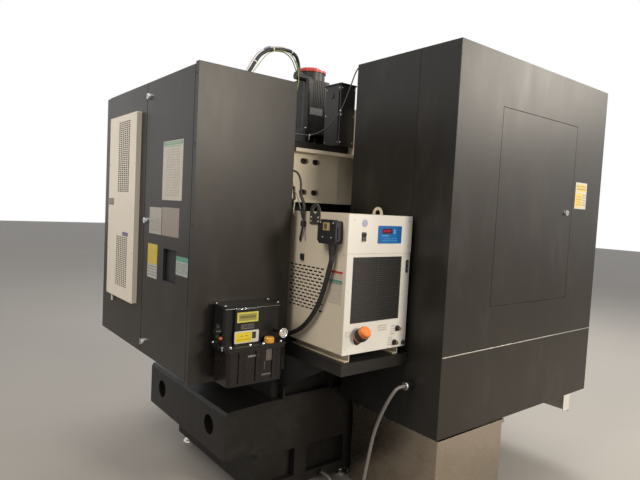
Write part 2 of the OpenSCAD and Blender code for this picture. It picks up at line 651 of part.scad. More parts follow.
// Turning lock with a knurled knob outside and a tongue inside
module turn_lock(t) {
    translate([0, 0, -t - 8]) cylinder(r = lock_r, h = t + 9);
    cylinder(r1 = lock_r + 5, r2 = lock_r + 3, h = 12);
    translate([0, 0, -t - 8]) linear_extrude(3) rounded([-8, -10], [8, 48], 6);
}

module guard_lock() color("gainsboro") translate([guard_x0, hatch_y0 + 66, hatch_z + 482])
    rotate([0, -90, 0]) rotate(90) turn_lock_guard();

module turn_lock_guard() {
    translate([0, 0, -hatch_t - 10]) cylinder(r = lock_r, h = hatch_t + 11);
    cylinder(r1 = lock_r + 5, r2 = lock_r + 3, h = 12);
    translate([0, 0, -hatch_t - 10]) linear_extrude(6) rounded([-8, -10], [8, 62], 6);
}

// Hidden walls: guard roof and front, rear splash wall, right wall and chip trough
module enclosure_shell() color("#2a2825") {
    x1 = right_x;
    box([guard_x0 + 31, guard_y0, guard_top - sheet], [guard_x1 - sheet - seat, guard_y - 61, guard_top]);
    box([guard_x0 + 31, guard_y0, guard_z], [guard_x1, guard_y0 + sheet, guard_top]);
    box([guard_x1 - sheet, guard_y0, front_top - 100], [guard_x1, guard_y - 61, guard_top]);
    box([guard_x1 - sheet, guard_y0, guard_z], [guard_x1, guard_y0 + 110, guard_top]);
    box([guard_x1 - sheet, wall_y, 1000], [guard_x1, guard_y - 61, guard_top]);
    box([x1 - sheet, front_y + sheet + seat, 300], [x1, wall_y, front_top]);
    box([column_w / 2 + 100, wall_y - sheet, 560], [x1, wall_y, front_top]);
    box([guard_x1, guard_y0 - 30, front_top - sheet], [x1, guard_y0 + 100, front_top]);
    trough(guard_x0 + 31, -base_w / 2);
    trough(base_w / 2, x1 - sheet / 2);
}

// Chip trough between the bed and a side wall
module trough(a, b) {
    z = guard_z + sheet + seat;
    y0 = guard_y0 + sheet - 1;
    box([a, y0, z], [b, wall_y - 10, z + sheet]);
    for (x = [a, b - sheet]) box([x, y0, z], [x + sheet, wall_y - 10, z + 36]);
}

// Front frame round the door opening, with a console recess and a plinth
module front_frame() color("#e3dfd3") difference() {
    x0 = -1050;
    union() {
        plate_xz([x0, 300], [right_x, front_top], front_y, sheet, 12);
        for (z = [sill_z + 1 - seat - 36, sill_z + opening_h - 1 + seat]) box([x0 + 12, front_y + sheet -
            1, z],
            [right_x - 12, front_y + 40, z + 36]);
        box([x0, front_y + sheet - 1, 312], [x0 + sheet, guard_y0 - seat, front_top - 12]);
    }
    plate_xz([-opening_w / 2, sill_z + 1], [opening_w / 2, sill_z + opening_h - 1], front_y - 10, 60, 30);
}

// A sliding front door: framed leaf with a window opening and a bar handle
module sliding_door(s) {
    y0 = front_y + sheet + 3;
    edge = opening_w / 2 + 12;
    scale([s, 1, 1]) difference() {
        union() {
            box([2, y0, sill_z + 1], [edge, y0 + 22, sill_z + opening_h - 1]);
            for (z = [sill_z + 330, sill_z + 620]) rod_y(44, z, y0 - 40, y0 + 2, 9);
            rod_z(44, y0 - 38, sill_z + 310, sill_z + 640, 11);
        }
        box([90, y0 - 5, sill_z + 270], [edge - 90, y0 + 30, sill_z + opening_h - 130]);
        box([82, y0 + 8, sill_z + 262], [edge - 82, y0 + 14, sill_z + opening_h - 122]);
        box([20, y0 + sheet, sill_z + 30], [edge - 20, y0 + 30, sill_z + 230]);
    }
}

module sliding_window(s) {
    y0 = front_y + sheet + 3;
    edge = opening_w / 2 + 12;
    scale([s, 1, 1]) box([82 + seat, y0 + 8 + seat, sill_z + 262 + seat],
        [edge - 82 - seat, y0 + 14 - seat, sill_z + opening_h - 122 - seat]);
}

module front_door_left() color("#e3dfd3") sliding_door(-1);
module front_door_right() color("#e3dfd3") sliding_door(1);
module door_window_left() color([0.6, 0.7, 0.7, 0.5]) sliding_window(-1);
module door_window_right() color([0.6, 0.7, 0.7, 0.5]) sliding_window(1);

panel_x = 640;
panel_z = 1050;

// Control housing with a recessed screen, a keypad field and bores for its knobs
module operator_panel() color("#33312d") difference() {
    union() {
        plate_xz([panel_x, panel_z], [panel_x + 430, panel_z + 640], front_y - 52, 52, 14);
        plate_xz([panel_x + 60, panel_z + 350], [panel_x + 370, panel_z + 590], front_y - 56, 6, 8);
    }
    plate_xz([panel_x + 75, panel_z + 365], [panel_x + 355, panel_z + 575], front_y - 57, 4, 4);
    for (c = [0:9], r = [0:3]) plate_xz([panel_x + 66 + c * 31, panel_z + 190 + r * 31],
        [panel_x + 66 + c * 31 + 25, panel_z + 190 + r * 31 + 25], front_y - 53, 2, 3);
    rod_y(panel_x + 60, panel_z + 80, front_y - 60, front_y - 20, 9 + run_c);
    rod_y(panel_x + 190, panel_z + 90, front_y - 60, front_y - 20, 7 + run_c);
    rod_y(panel_x + 340, panel_z + 90, front_y - 60, front_y - 20, 8 + run_c);
}

module stop_button() color("#b5251c") translate([panel_x + 60, front_y - 52, panel_z + 80]) rotate([90, 0, 0])
    rotate_extrude() polygon([[0, -20], [9, -20], [9, 5], [18, 6], [20, 9], [18, 11], [0, 11]]);

module handwheel() color("#1c1c1c") translate([panel_x + 340, front_y - 52, panel_z + 90]) rotate([90, 0, 0])
    difference() {
        union() {
            rotate_extrude() polygon([[0, -20], [8, -20], [8, 0.5], [38, 0.5], [40, 3], [40, 8], [38, 10],
                [0, 10]]);
            translate([0, 26, 0.5]) cylinder(r = 6, h = 10.5);
        }
        for (a = [0:15:345]) rotate(a) translate([41, 0, 0]) cylinder(r = 1.8, h = 20);
    }

module mode_knob() color("#1c1c1c") translate([panel_x + 190, front_y - 52, panel_z + 90]) rotate([90, 0, 0])
    union() {
        rotate_extrude() polygon([[0, -20], [7, -20], [7, 0.5], [20, 0.5], [20, 4], [17, 6], [0, 6]]);
        linear_extrude(11) rounded([-3.5, -16], [3.5, 16], 3);
    }

// Cabinet shell, open at the back, with folded lips, a middle post and mounts to the column
module cabinet_shell() color("#25231f") {
    difference() {
        box([cab_left, cab_y0, cab_z], [cab_x1, cab_y1, cab_top]);
        box([cab_left + sheet, cab_y0 + sheet, cab_z + sheet], [cab_x1 - sheet, cab_y1 - sheet, cab_top -
            sheet]);
        box([plain_x0 + 12, cab_y1 - 10, door_z0 + 15], [plain_x1 - 8, cab_y1 + 1, door_z0 + door_h - 15]);
        box([cold_x0 + 12, cab_y1 - 10, door_z0 + 15], [cold_x1 - 15, cab_y1 + 1, door_z0 + door_h - 15]);
        rod_y(-460, cable_z, cab_y0 - 1, cab_y0 + 10, 13);
        rod_z(-100, 775, cab_top - 10, cab_top + 1, 13);
    }
    box([cab_left, cab_y1 - sheet, cab_z], [plain_x0 - door_gap, cab_y1 + door_t, cab_top]);
    for (x = [-260, 260], z = [860, 1720]) box([x - 60, column_back, z], [x + 60, cab_y0, z + 60]);
    for (x = [-440, -60, 330]) {
        translate([x, cab_y1 - 60, cab_top]) cylinder(r = 13, h = 12, $fn = 6);
        rod_z(x, cab_y1 - 60, cab_top, cab_top + 4, 18);
    }
    translate([-460, cab_y0, cable_z]) rotate([90, 0, 0]) difference() {
        cylinder(r = 17, h = 8);
        translate([0, 0, -1]) cylinder(r = 7, h = 10);
    }
    translate([-100, 775, cab_top]) difference() {
        cylinder(r = 18, h = 24);
        translate([0, 0, -1]) cylinder(r = 7, h = 27);
    }
}

// A cabinet door: a pan with a folded rim
module door_pan(x0, x1) difference() {
    plate_xz([x0, door_z0], [x1, door_z0 + door_h], door_y, door_t, 2);
    plate_xz([x0 + 12, door_z0 + 12], [x1 - 12, door_z0 + door_h - 12], door_y - 1, door_t - sheet + 1);
}

// Plain door with lock bores and the square window opening
module plain_door() color("#25231f") difference() {
    union() {
        door_pan(plain_x0, plain_x1);
        for (z = lock_zs) rod_y(lock_x, z, door_y + 2, door_y + door_t - 1, lock_r + 6);
    }
    for (z = lock_zs) rod_y(lock_x, z, door_y - 10, door_y + door_t + 10, lock_r + run_c);
    box([-440, door_y - 1, 1158], [-293, door_y + door_t + 1, 1308]);
}

// Door that carries the cooler, cut out for the cooler's inner part
module cooler_door() color("#25231f") difference() {
    door_pan(cold_x0, cold_x1);
    box([cooler_x + 20, door_y - 1, cooler_z + 20], [cooler_x + cooler_w - 20, door_y + door_t + 1,
        cooler_z + cooler_h - 20]);
}

module cabinet_lock(z) translate([lock_x, door_y + door_t, z]) rotate([-90, 0, 0]) turn_lock(door_t);
module cabinet_lock_low() color("gainsboro") cabinet_lock(lock_zs[0]);
module cabinet_lock_middle() color("gainsboro") cabinet_lock(lock_zs[1]);
module cabinet_lock_top() color("gainsboro") cabinet_lock(lock_zs[2]);

// Mounting plate with drive modules, contactor rails and a transformer
module drive_rack() color("#c4c2bb") {
    y0 = cab_y0 + sheet + 14;
    for (x = [cab_left + 80, cab_x1 - 80], z = [cab_z + 120, cab_top - 120]) rod_y(x, z, cab_y0 + sheet, y0
        + 1, 10);
    box([cab_left + 40, y0, cab_z + 60], [cab_x1 - 40, y0 + 4, cab_top - 60]);
    for (k = [0:5]) difference() {
        box([-500 + k * 82, y0 + 3, 1560], [-500 + k * 82 + (k == 5 ? 110 : 74), y0 + 230, 1940]);
        for (z = [1580:24:1920]) box([-492 + k * 82, y0 + 200, z], [-434 + k * 82, y0 + 240, z + 10]);
    }
    for (z = [1180, 1360]) box([-520, y0 + 3, z], [80, y0 + 12, z + 35]);
    for (k = [0:10]) box([-510 + k * 50, y0 + 11, 1160], [-468 + k * 50, y0 + 80, 1235]);
    for (k = [0:12]) box([-510 + k * 42, y0 + 11, 1345], [-476 + k * 42, y0 + 70, 1410]);
    box([-500, y0 + 3, 840], [-260, y0 + 170, 1040]);
}

// A field of slots with the corner at low
module slot_field(low, nx, nz) for (i = [0:nx - 1], k = [0:nz - 1])
    translate(low + [i * grille_px, k * grille_pz]) square([grille_px - 8, grille_pz - 4.4]);

// Cooler: shallow cover with two slotted grilles over a deep inner box
module cooler() color("#e0dac8") {
    y0 = door_y + door_t;
    difference() {
        plate_xz([cooler_x, cooler_z], [cooler_x + cooler_w, cooler_z + cooler_h], y0, cooler_t, 4);
        plate_xz([cooler_x + 60, cooler_z + 30], [cooler_x + cooler_w - 60, cooler_z + cooler_h - 30], y0 + 4,
            cooler_t - 5.5);
        translate([0, y0 + cooler_t + 1, 0]) rotate([90, 0, 0]) linear_extrude(4) {
            slot_field([cooler_x + 96, cooler_z + 571], 6, 36);
            slot_field([cooler_x + 96, cooler_z + 66], 6, 26);
        }
    }
    box([cooler_x + 21, door_y - 120, cooler_z + 21], [cooler_x + cooler_w - 21, y0 + 1, cooler_z +
        cooler_h - 21]);
    rod_z(cooler_x + cooler_w - 60, y0 + 10, cooler_z - 40, cooler_z + 1, 6);
}

// Lubricator's pump housing with a cover lip, a label boss, a gauge and a fixing plate
module lube_pump() color("#1b1a18") {
    z0 = lube_top - lube_h;
    xh = lube_x0 + lube_back;
    difference() {
        union() {
            translate([0, 0, z0]) linear_extrude(lube_h - 12) rounded([xh, lube_y0 + 4],
                [lube_x1 - 8, lube_y0 + lube_w - 4], 12);
            translate([0, 0, lube_top - 14]) linear_extrude(14) rounded([xh - 4, lube_y0],
                [lube_x1 - 8, lube_y0 + lube_w], 14);
            translate([0, 0, z0 - 10]) linear_extrude(12) rounded([lube_x0 - 4, lube_y0 - 6],
                [lube_x1 - 8, lube_y0 + lube_w + 6], 10);
            box([lube_x1 - 9, lube_y0 - 12, z0 - 60], [lube_x1 + 3, lube_y0 + lube_w + 12, lube_top - 4]);
            plate_yz([lube_y0 + 112, z0], [lube_y0 + 236, lube_top - 15], xh - 12, 14, 4);
            rod_x(gauge_y, gauge_z, lube_x0 - 4, xh + 2, 9);
            rod_x(gauge_y, gauge_z, lube_x0 - 20, lube_x0 - 3, 20);
            rod_y(xh + 30, z0 + 60, lube_y0 + lube_w - 5, lube_y0 + lube_w + 22, 14);
        }
        rod_x(gauge_y, gauge_z, lube_x0 - 21, lube_x0 - 17, 17);
        rod_z(lube_x0 + 23, filler_y, z0 - 11, z0 + 3, 12 + run_c);
    }
}

// Translucent oil tank: ribbed tub, open at the top under the pump's flange
module lube_tank() color([0.35, 0.32, 0.28, 0.7]) difference() {
    z1 = lube_top - lube_h - 10;
    union() {
        translate([0, 0, z1 - lube_tank_h]) linear_extrude(lube_tank_h) rounded([lube_x0 + 4, lube_y0 + 6],
            [lube_x1 - 14, lube_y0 + lube_w - 6], 16);
        translate([0, 0, z1 - 10]) linear_extrude(10) rounded([lube_x0 - 4, lube_y0 - 4],
            [lube_x1 - 10, lube_y0 + lube_w + 4], 12);
        for (y = [lube_y0 + 60, lube_y0 + 143, lube_y0 + 226]) box([lube_x0 - 1, y - 5, z1 - lube_tank_h +
            12],
            [lube_x0 + 6, y + 5, z1 - 5]);
    }
    translate([0, 0, z1 - lube_tank_h + 4]) linear_extrude(lube_tank_h) rounded([lube_x0 + 8, lube_y0 + 10],
        [lube_x1 - 18, lube_y0 + lube_w - 10], 12);
}

module lube_cap() color("#c8922b") translate([lube_x0 + 23, filler_y, lube_top - lube_h + 2]) difference() {
    rotate_extrude() polygon([[0, -15], [12, -15], [12, 0.3], [22, 0.3], [22, 19], [19, 23], [0, 23]]);
    for (a = [0:20:340]) rotate(a) translate([23.2, 0, 1]) cylinder(r = 2.2, h = 30);
}

// Chiller housing with staggered louvres in its rear wall, skids, lifting lugs and a filter recess
module chiller_body() color("#e4dcc6") {
    x1 = chiller_x + chiller_d;
    difference() {
        box([chiller_x + 6, chiller_y0, chiller_z], [x1, chiller_y1, chiller_top]);
        box([chiller_x + 10, chiller_y0 + 3, chiller_z + 4], [x1 - 4, chiller_y1 - 2.5, chiller_top - 4]);
        plate_yz([window_y0, window_z0], [window_y1, window_z1], chiller_x, 20);
        plate_yz([rocker_y - 16, rocker_z - 24], [rocker_y + 16, rocker_z + 24], chiller_x, 20);
        translate([0, chiller_y1 + 1, 0]) rotate([90, 0, 0]) linear_extrude(8)
            for (r = [0:louvre_n - 1], k = [0:7 - r % 2]) translate([chiller_x + 152 + k * 34 + (r % 2) * 17,
                chiller_z + louvre_z + r * louvre_pz]) rounded([0, 0], [26, 7], 3.4);
    }
    for (y = [chiller_y0 + 30, chiller_y1 - 60]) {
        box([chiller_x + 20, y, chiller_z - skid_h], [x1 - 20, y + 30, chiller_z - skid_h + 5]);
        box([chiller_x + 20, y, chiller_z - skid_h], [x1 - 20, y + 4, chiller_z + 1]);
    }
    for (y = [chiller_y0, chiller_y1 + 5]) translate([chiller_x + 234, y, chiller_top]) rotate([90, 0, 0])
        linear_extrude(5) difference() {
            union() {
                translate([-37, -56]) square([74, 58]);
                translate([0, 2]) circle(37);
            }
            translate([0, 8]) circle(16);
        }
}

// Front panel: proud upper band over a lower part with the dark filter grille, and a hinge
module chiller_front() color("#ece4cf") {
    x0 = chiller_x;
    difference() {
        union() {
            plate_yz([chiller_y0 - 1, seam_z], [chiller_y1 + 1, chiller_top + 1], x0, 6);
            plate_yz([chiller_y0, chiller_z - 2], [chiller_y1, seam_z - 2], x0 + 1.5, 4.5);
            plate_yz([chiller_y0 + 2, seam_z - 3], [chiller_y1 - 2, seam_z + 1], x0 + 3, 3);
            box([x0 - 3, chiller_y0 + 10, window_z1 - 80], [x0 + 2, chiller_y0 + 32, window_z1 - 14]);
        }
        plate_yz([window_y0, window_z0], [window_y1, window_z1], x0 - 1, 8);
        plate_yz([rocker_y - 12, rocker_z - rocker_r - 0.6], [rocker_y + 12, rocker_z + rocker_r + 0.6], x0
            - 1, 8);
    }
    for (k = [0:30]) box([x0 + 2, window_y0 - 2, window_z0 + 2 + k * 9.4],
        [x0 + 5, window_y1 + 2, window_z0 + 5 + k * 9.4]);
    for (y = [window_y0 + 3, (window_y0 + window_y1) / 2, window_y1 - 3]) box([x0 + 4.5, y - 3, window_z0 -
        2],
        [x0 + 5.9, y + 3, window_z1 + 2]);
}

// Rocker that tips about a pin behind the front panel
module chiller_switch() color("#171717") translate([chiller_x + 4, rocker_y, rocker_z])
    rotate([90, 0, 0]) translate([0, 0, -11.4]) linear_extrude(22.8) intersection() {
        circle(rocker_r);
        polygon([[20, -20], [20, 20], [-10, 20], [-10, 14], [-6, 0], [-8, -14], [-8, -20]]);
    }

// Places a piece on the slanting axis of the filler neck
module on_neck() translate([chiller_x, neck_y, neck_z]) rotate([0, -50, 0]) children();

module chiller_cap() color("#d8702a") on_neck() difference() {
    rotate_extrude() polygon([[0, 30], [17, 30], [17, 46.3], [26, 46.3], [27, 49], [27, 66], [23, 72], [0,
        72]]);
    for (a = [0:30:330]) rotate(a) translate([29.5, 0, 48]) cylinder(r = 4, h = 30);
}

// Multi-pole connector with its strain relief, and the filler neck and ports of the front panel
module chiller_plug() color("#171717") {
    y0 = chiller_y1;
    front = chiller_x + 1.5;
    translate([0, y0 + 22, 0]) rotate([90, 0, 0]) linear_extrude(22) rounded([-930, 1380], [-814, 1478], 12);
    translate([0, y0 + 45, 0]) rotate([90, 0, 0]) linear_extrude(24) polygon([[-934, 1392], [-920, 1376],
        [-824, 1376], [-810, 1390], [-810, 1462], [-832, 1482], [-918, 1482], [-934, 1466]]);
    translate([-891, y0 + 24, 1328]) cylinder(r1 = 12, r2 = 17, h = 50);
    for (x = [-922, -822]) rod_y(x, 1404, y0 + 40, y0 + 48, 5);
    difference() {
        on_neck() {
            translate([0, 0, -20]) cylinder(r = 22, h = 66);
            translate([0, 0, 24]) cylinder(r = 29, h = 22);
        }
        on_neck() translate([0, 0, 28]) cylinder(r = 17 + run_c, h = 20);
        box([front, neck_y - 60, neck_z - 80], [front + 60, neck_y + 60, neck_z + 80]);
    }
    for (p = [[61, 88], [76, 23]]) {
        rod_x(chiller_y0 + p[0], chiller_z + p[1], front - 20, front, 9);
        rod_x(chiller_y0 + p[0], chiller_z + p[1], front - 8, front, 13);
    }
    rod_x(chiller_y0 + 16, chiller_z + 16, front - 12, front, 11);
}

module plug_cable() color("#141414") swept(smooth(plug_route), 10);

// Shelf under the chiller, carried by two gussets that stand on the base
module chiller_shelf() color("#25231f") {
    z1 = chiller_z - skid_h;
    difference() {
        box([chiller_x, guard_y + 2, z1 - shelf_h], [-column_foot_w / 2, chiller_y1 + 1, z1]);
        box([chiller_x + 4, guard_y + 6, z1 - shelf_h - 1], [-column_foot_w / 2 - 4, chiller_y1 - 3, z1 - 4]);
    }
    for (y = [330, 640]) translate([0, y + 10, 0]) rotate([90, 0, 0]) linear_extrude(10) polygon([
        [-base_w / 2 + 2, base_h], [-column_foot_w / 2, base_h], [-column_foot_w / 2, z1 - 4],
        [-820, z1 - 4], [-820, z1 - 60], [-base_w / 2 + 2, 600]]);
    box([-base_w / 2 + 2, 330, base_h], [-column_foot_w / 2, 650, base_h + 8]);
}

// Folded stainless coolant tank, open at the top, with a rim flange
module coolant_tank() color("#8a7c68") difference() {
    union() {
        box([tank_x0, tank_y1 - tank_l, 0], [tank_x1, tank_y1, tank_h - 4]);
        box([tank_x0 - 8, tank_y1 - tank_l - 8, tank_h - 20], [tank_x1 + 2, tank_y1 + 8, tank_h]);
    }
    box([tank_x0 + 4, tank_y1 - tank_l + 4, 4], [tank_x1 - 4, tank_y1 - 4, tank_h + 1]);
    box([tank_x0 - 5, tank_y1 - tank_l - 5, tank_h - 21], [tank_x0, tank_y1 + 5, tank_h - 3]);
}

module conduit() color("#77746c") swept(smooth(conduit_route), 14, 10);
module motor_cable() color("#1a1a1a") swept(smooth(motor_route), 10);
module sensor_cable() color("#1a1a1a") swept(smooth(sensor_route), 3.5);

base_casting();
levelling_feet();
column();
guide_rails();
y_screw();
y_motor();
saddle();
x_rails();
x_screw();
x_motor();
work_table();
z_screw();
z_motor();
motor_cap();
junction_box();
spindle_head();
spindle();
spindle_motor();
magazine_bracket();
magazine_disc();
exchange_pot();
changer_drive();
arm_shaft();
change_arm();
guard_side();
guard_rear();
guard_door();
guard_lock();
enclosure_shell();
front_frame();
front_door_left();
front_door_right();
door_window_left();
door_window_right();
operator_panel();
stop_button();
handwheel();
mode_knob();
cabinet_shell();
plain_door();
cooler_door();
cabinet_lock_low();
cabinet_lock_middle();
cabinet_lock_top();
drive_rack();
cooler();
lube_pump();
lube_tank();
lube_cap();
chiller_body();
chiller_front();
chiller_switch();
chiller_cap();
chiller_plug();
plug_cable();
chiller_shelf();
coolant_tank();
conduit();
motor_cable();
sensor_cable();
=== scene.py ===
# Looks of a vertical machining center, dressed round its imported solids.
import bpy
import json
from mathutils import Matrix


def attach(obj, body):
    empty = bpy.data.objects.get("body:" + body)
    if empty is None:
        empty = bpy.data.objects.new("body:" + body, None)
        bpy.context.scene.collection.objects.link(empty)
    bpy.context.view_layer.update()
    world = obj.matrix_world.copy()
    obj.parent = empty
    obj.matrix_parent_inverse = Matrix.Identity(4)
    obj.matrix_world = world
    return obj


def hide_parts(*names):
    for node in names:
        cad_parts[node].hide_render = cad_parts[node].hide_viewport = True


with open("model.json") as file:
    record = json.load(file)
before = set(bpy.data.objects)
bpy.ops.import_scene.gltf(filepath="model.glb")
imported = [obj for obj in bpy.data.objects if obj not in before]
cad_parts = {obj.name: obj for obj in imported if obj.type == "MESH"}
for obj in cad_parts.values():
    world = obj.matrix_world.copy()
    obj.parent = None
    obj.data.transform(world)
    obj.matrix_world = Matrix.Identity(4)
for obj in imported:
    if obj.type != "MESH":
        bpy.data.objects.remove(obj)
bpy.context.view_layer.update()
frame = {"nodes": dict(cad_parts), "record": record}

import json
import math
from functools import partialmethod

import bmesh
import bpy
import numpy as np
from mathutils import Matrix, Vector

# Shapes: each is (points, [face arrays]) and is worked out with numpy


# quads between neighbours of a rows by cols grid, closed along its columns
def gridFaces(rows, cols):
    i = np.arange(rows - 1)[:, None]
    k = np.arange(cols)[None, :]
    n = (k + 1) % cols
    return np.stack([i * cols + k, i * cols + n, (i + 1) * cols + n, (i + 1) * cols + k], -1).reshape(-1, 4)


# point = (r cos a, r sin a, h) for each (r, h) of the profile, from the low end up
def turned(profile, sides=32):
    r, h = np.asarray(profile, float).T
    a = np.linspace(0, 2 * np.pi, sides, endpoint=False)
    points = np.stack([r[:, None] * np.cos(a), r[:, None] * np.sin(a), h[:, None] + 0 * a], -1)
    return points.reshape(-1, 3), [gridFaces(len(r), sides)]


def disc(radius, height, sides=32):  # a turned disc that starts at h = 0
    return turned([(0, 0), (radius, 0), (radius, height), (0, height)], sides)


def tube(inner, outer, height, sides=32):  # a turned ring with square edges that starts at h = 0
    return turned([(inner, 0), (outer, 0), (outer, height), (inner, height), (inner, 0)], sides)


def roundedLoop(width, height, radius, steps=5):  # corner centre plus radius (cos a, sin a), anticlockwise
    a = np.linspace(0, np.pi / 2, steps + 1)[None, :] + np.arange(4)[:, None] * np.pi / 2
    side = np.array([(1, 1), (-1, 1), (-1, -1), (1, -1)], float)
    x = side[:, :1] * (width / 2 - radius) + radius * np.cos(a)
    y = side[:, 1:] * (height / 2 - radius) + radius * np.sin(a)
    return np.stack([x, y], -1).reshape(-1, 2)


# the rounded outline drawn in by each level's inset, at its height
def slab(width, height, radius, levels, steps=5):
    loops = [roundedLoop(width - 2 * d, height - 2 * d, max(radius - d, 2e-5), steps) for d, _ in levels]
    n = len(loops[0])
    points = np.vstack([np.column_stack([loop, np.full(n, rise)]) for loop, (_, rise) in zip(loops, levels)])
    caps = np.array([np.arange(n)[::-1], (len(levels) - 1) * n + np.arange(n)])
    return points, [gridFaces(len(levels), n), caps]


def pad(width, height, thick, radius=0.001, edge=0.0003):  # a plain plate with a softened front edge
    return slab(width, height, radius, [(0, 0), (0, thick - edge), (edge, thick)], 3)


def joined(*shapes):
    points, faces, base = [], [], 0
    for p, f in shapes:
        points.append(p)
        faces += [g + base for g in f]
        base += len(p)
    return np.vstack(points), faces


# Directions of a face seen from outside: to the right, and up
facing = {
    "left": ((0, -1, 0), (0, 0, 1)), "right": ((0, 1, 0), (0, 0, 1)), "rear": ((-1, 0, 0), (0, 0, 1)),
    "front": ((1, 0, 0), (0, 0, 1)), "top": ((1, 0, 0), (0, 1, 0)), "below": ((1, 0, 0), (0, -1, 0)),
}


def placed(shape, origin, side="top"):  # point = origin + x right + y up + z outwards
    points, faces = shape
    toRight, toTop = (np.array(d, float) for d in facing[side])
    axes = np.stack([toRight, toTop, np.cross(toRight, toTop)])
    return points @ axes + np.asarray(origin, float), faces


def smoothRoute(points, times=1):  # cubic middle points: (9 (b + c) - a - d) / 16
    p = np.asarray(points, float)
    for _ in range(times):
        before, after = np.vstack([p[:1], p[:-2]]), np.vstack([p[2:], p[-1:]])
        middle = (9 * (p[:-1] + p[1:]) - before - after) / 16
        both = np.empty((2 * len(p) - 1, 3))
        both[::2], both[1::2] = p, middle
        p = both
    return p


def evenRoute(points, step):  # the same line, cut into equal lengths
    d = np.r_[0, np.cumsum(np.linalg.norm(np.diff(points, axis=0), axis=1))]
    at = np.linspace(0, d[-1], max(int(round(d[-1] / step)), 2) + 1)
    return np.column_stack([np.interp(at, d, points[:, k]) for k in range(3)])


def cordLine(route, step=0.006):  # a route in millimetres made smooth, in metres
    return evenRoute(smoothRoute(np.array(route) / 1000, 3), step)


def routeLength(points):
    return float(np.linalg.norm(np.diff(points, axis=0), axis=1).sum())


# ring = centre + r (cos a u + sin a w), closed at both ends
def hose(path, radius, sides=12):
    path = np.asarray(path, float)
    upright = np.array((0.36, 0.48, 0.8))  # a direction that no route runs along
    t = np.gradient(path, axis=0)
    t /= np.linalg.norm(t, axis=1)[:, None]
    u = upright - (t @ upright)[:, None] * t
    u /= np.linalg.norm(u, axis=1)[:, None]
    w = np.cross(t, u)
    a = np.linspace(0, 2 * np.pi, sides, endpoint=False)[None, :, None]
    r = np.broadcast_to(np.asarray(radius, float), (len(path),))[:, None, None]
    rings = path[:, None] + r * (np.cos(a) * u[:, None] + np.sin(a) * w[:, None])
    n = len(path)
    caps = np.array([np.arange(sides)[::-1], (n - 1) * sides + np.arange(sides)])
    return rings.reshape(-1, 3), [gridFaces(n, sides), caps]


def piece(name, shape, body, finish, smooth=40, uv=None):
    points, faces = shape
    mesh = bpy.data.meshes.new(name)
    mesh.from_pydata(points.tolist(), [], [f for g in faces for f in g.tolist()])
    if uv is not None:  # one corner value per loop, from the points' own plane coordinates
        corner = np.empty(len(mesh.loops), int)
        mesh.loops.foreach_get("vertex_index", corner)
        layer = mesh.uv_layers.new(name="UVMap")
        layer.data.foreach_set("uv", np.asarray(uv, float)[corner].ravel())
    work = bmesh.new()
    work.from_mesh(mesh)
    bmesh.ops.remove_doubles(work, verts=work.verts, dist=2e-6)
    bmesh.ops.dissolve_degenerate(work, edges=work.edges, dist=1e-6)
    work.to_mesh(mesh)
    work.free()
    mesh.shade_smooth()
    mesh.set_sharp_from_angle(angle=math.radians(smooth))
    mesh.materials.append(finish)
    made = bpy.data.objects.new(name, mesh)
    bpy.context.scene.collection.objects.link(made)
    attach(made, body)
    return made


# Finishes: sums on sockets, and one method for every other node


class Wire:  # a socket that takes part in sums
    def __init__(self, finish, socket):
        self.finish, self.socket = finish, socket

    def sums(self, operation, other, swap=False):
        pair = {0: other, 1: self} if swap else {0: self, 1: other}
        return self.finish.node("ShaderNodeMath", {"operation": operation}, pair)

    __add__ = __radd__ = partialmethod(sums, "ADD")
    __sub__ = partialmethod(sums, "SUBTRACT")
    __rsub__ = partialmethod(sums, "SUBTRACT", swap=True)
    __mul__ = __rmul__ = partialmethod(sums, "MULTIPLY")
    __lt__ = partialmethod(sums, "LESS_THAN")
    __gt__ = partialmethod(sums, "GREATER_THAN")
    __mod__ = partialmethod(sums, "FLOORED_MODULO")

    def apply(self, operation):
        return self.finish.node("ShaderNodeMath", {"operation": operation}, {0: self})

    def between(self, low, high):  # 0 below low, 1 above high
        return self.finish.node("ShaderNodeMapRange", {"clamp": True},
                                {0: self, 1: low, 2: high, 3: 0.0, 4: 1.0})


def opaque(value, wanted=True):  # a colour gets its fourth value, anything else stays
    return (*value, 1) if wanted and isinstance(value, tuple) and len(value) == 3 else value


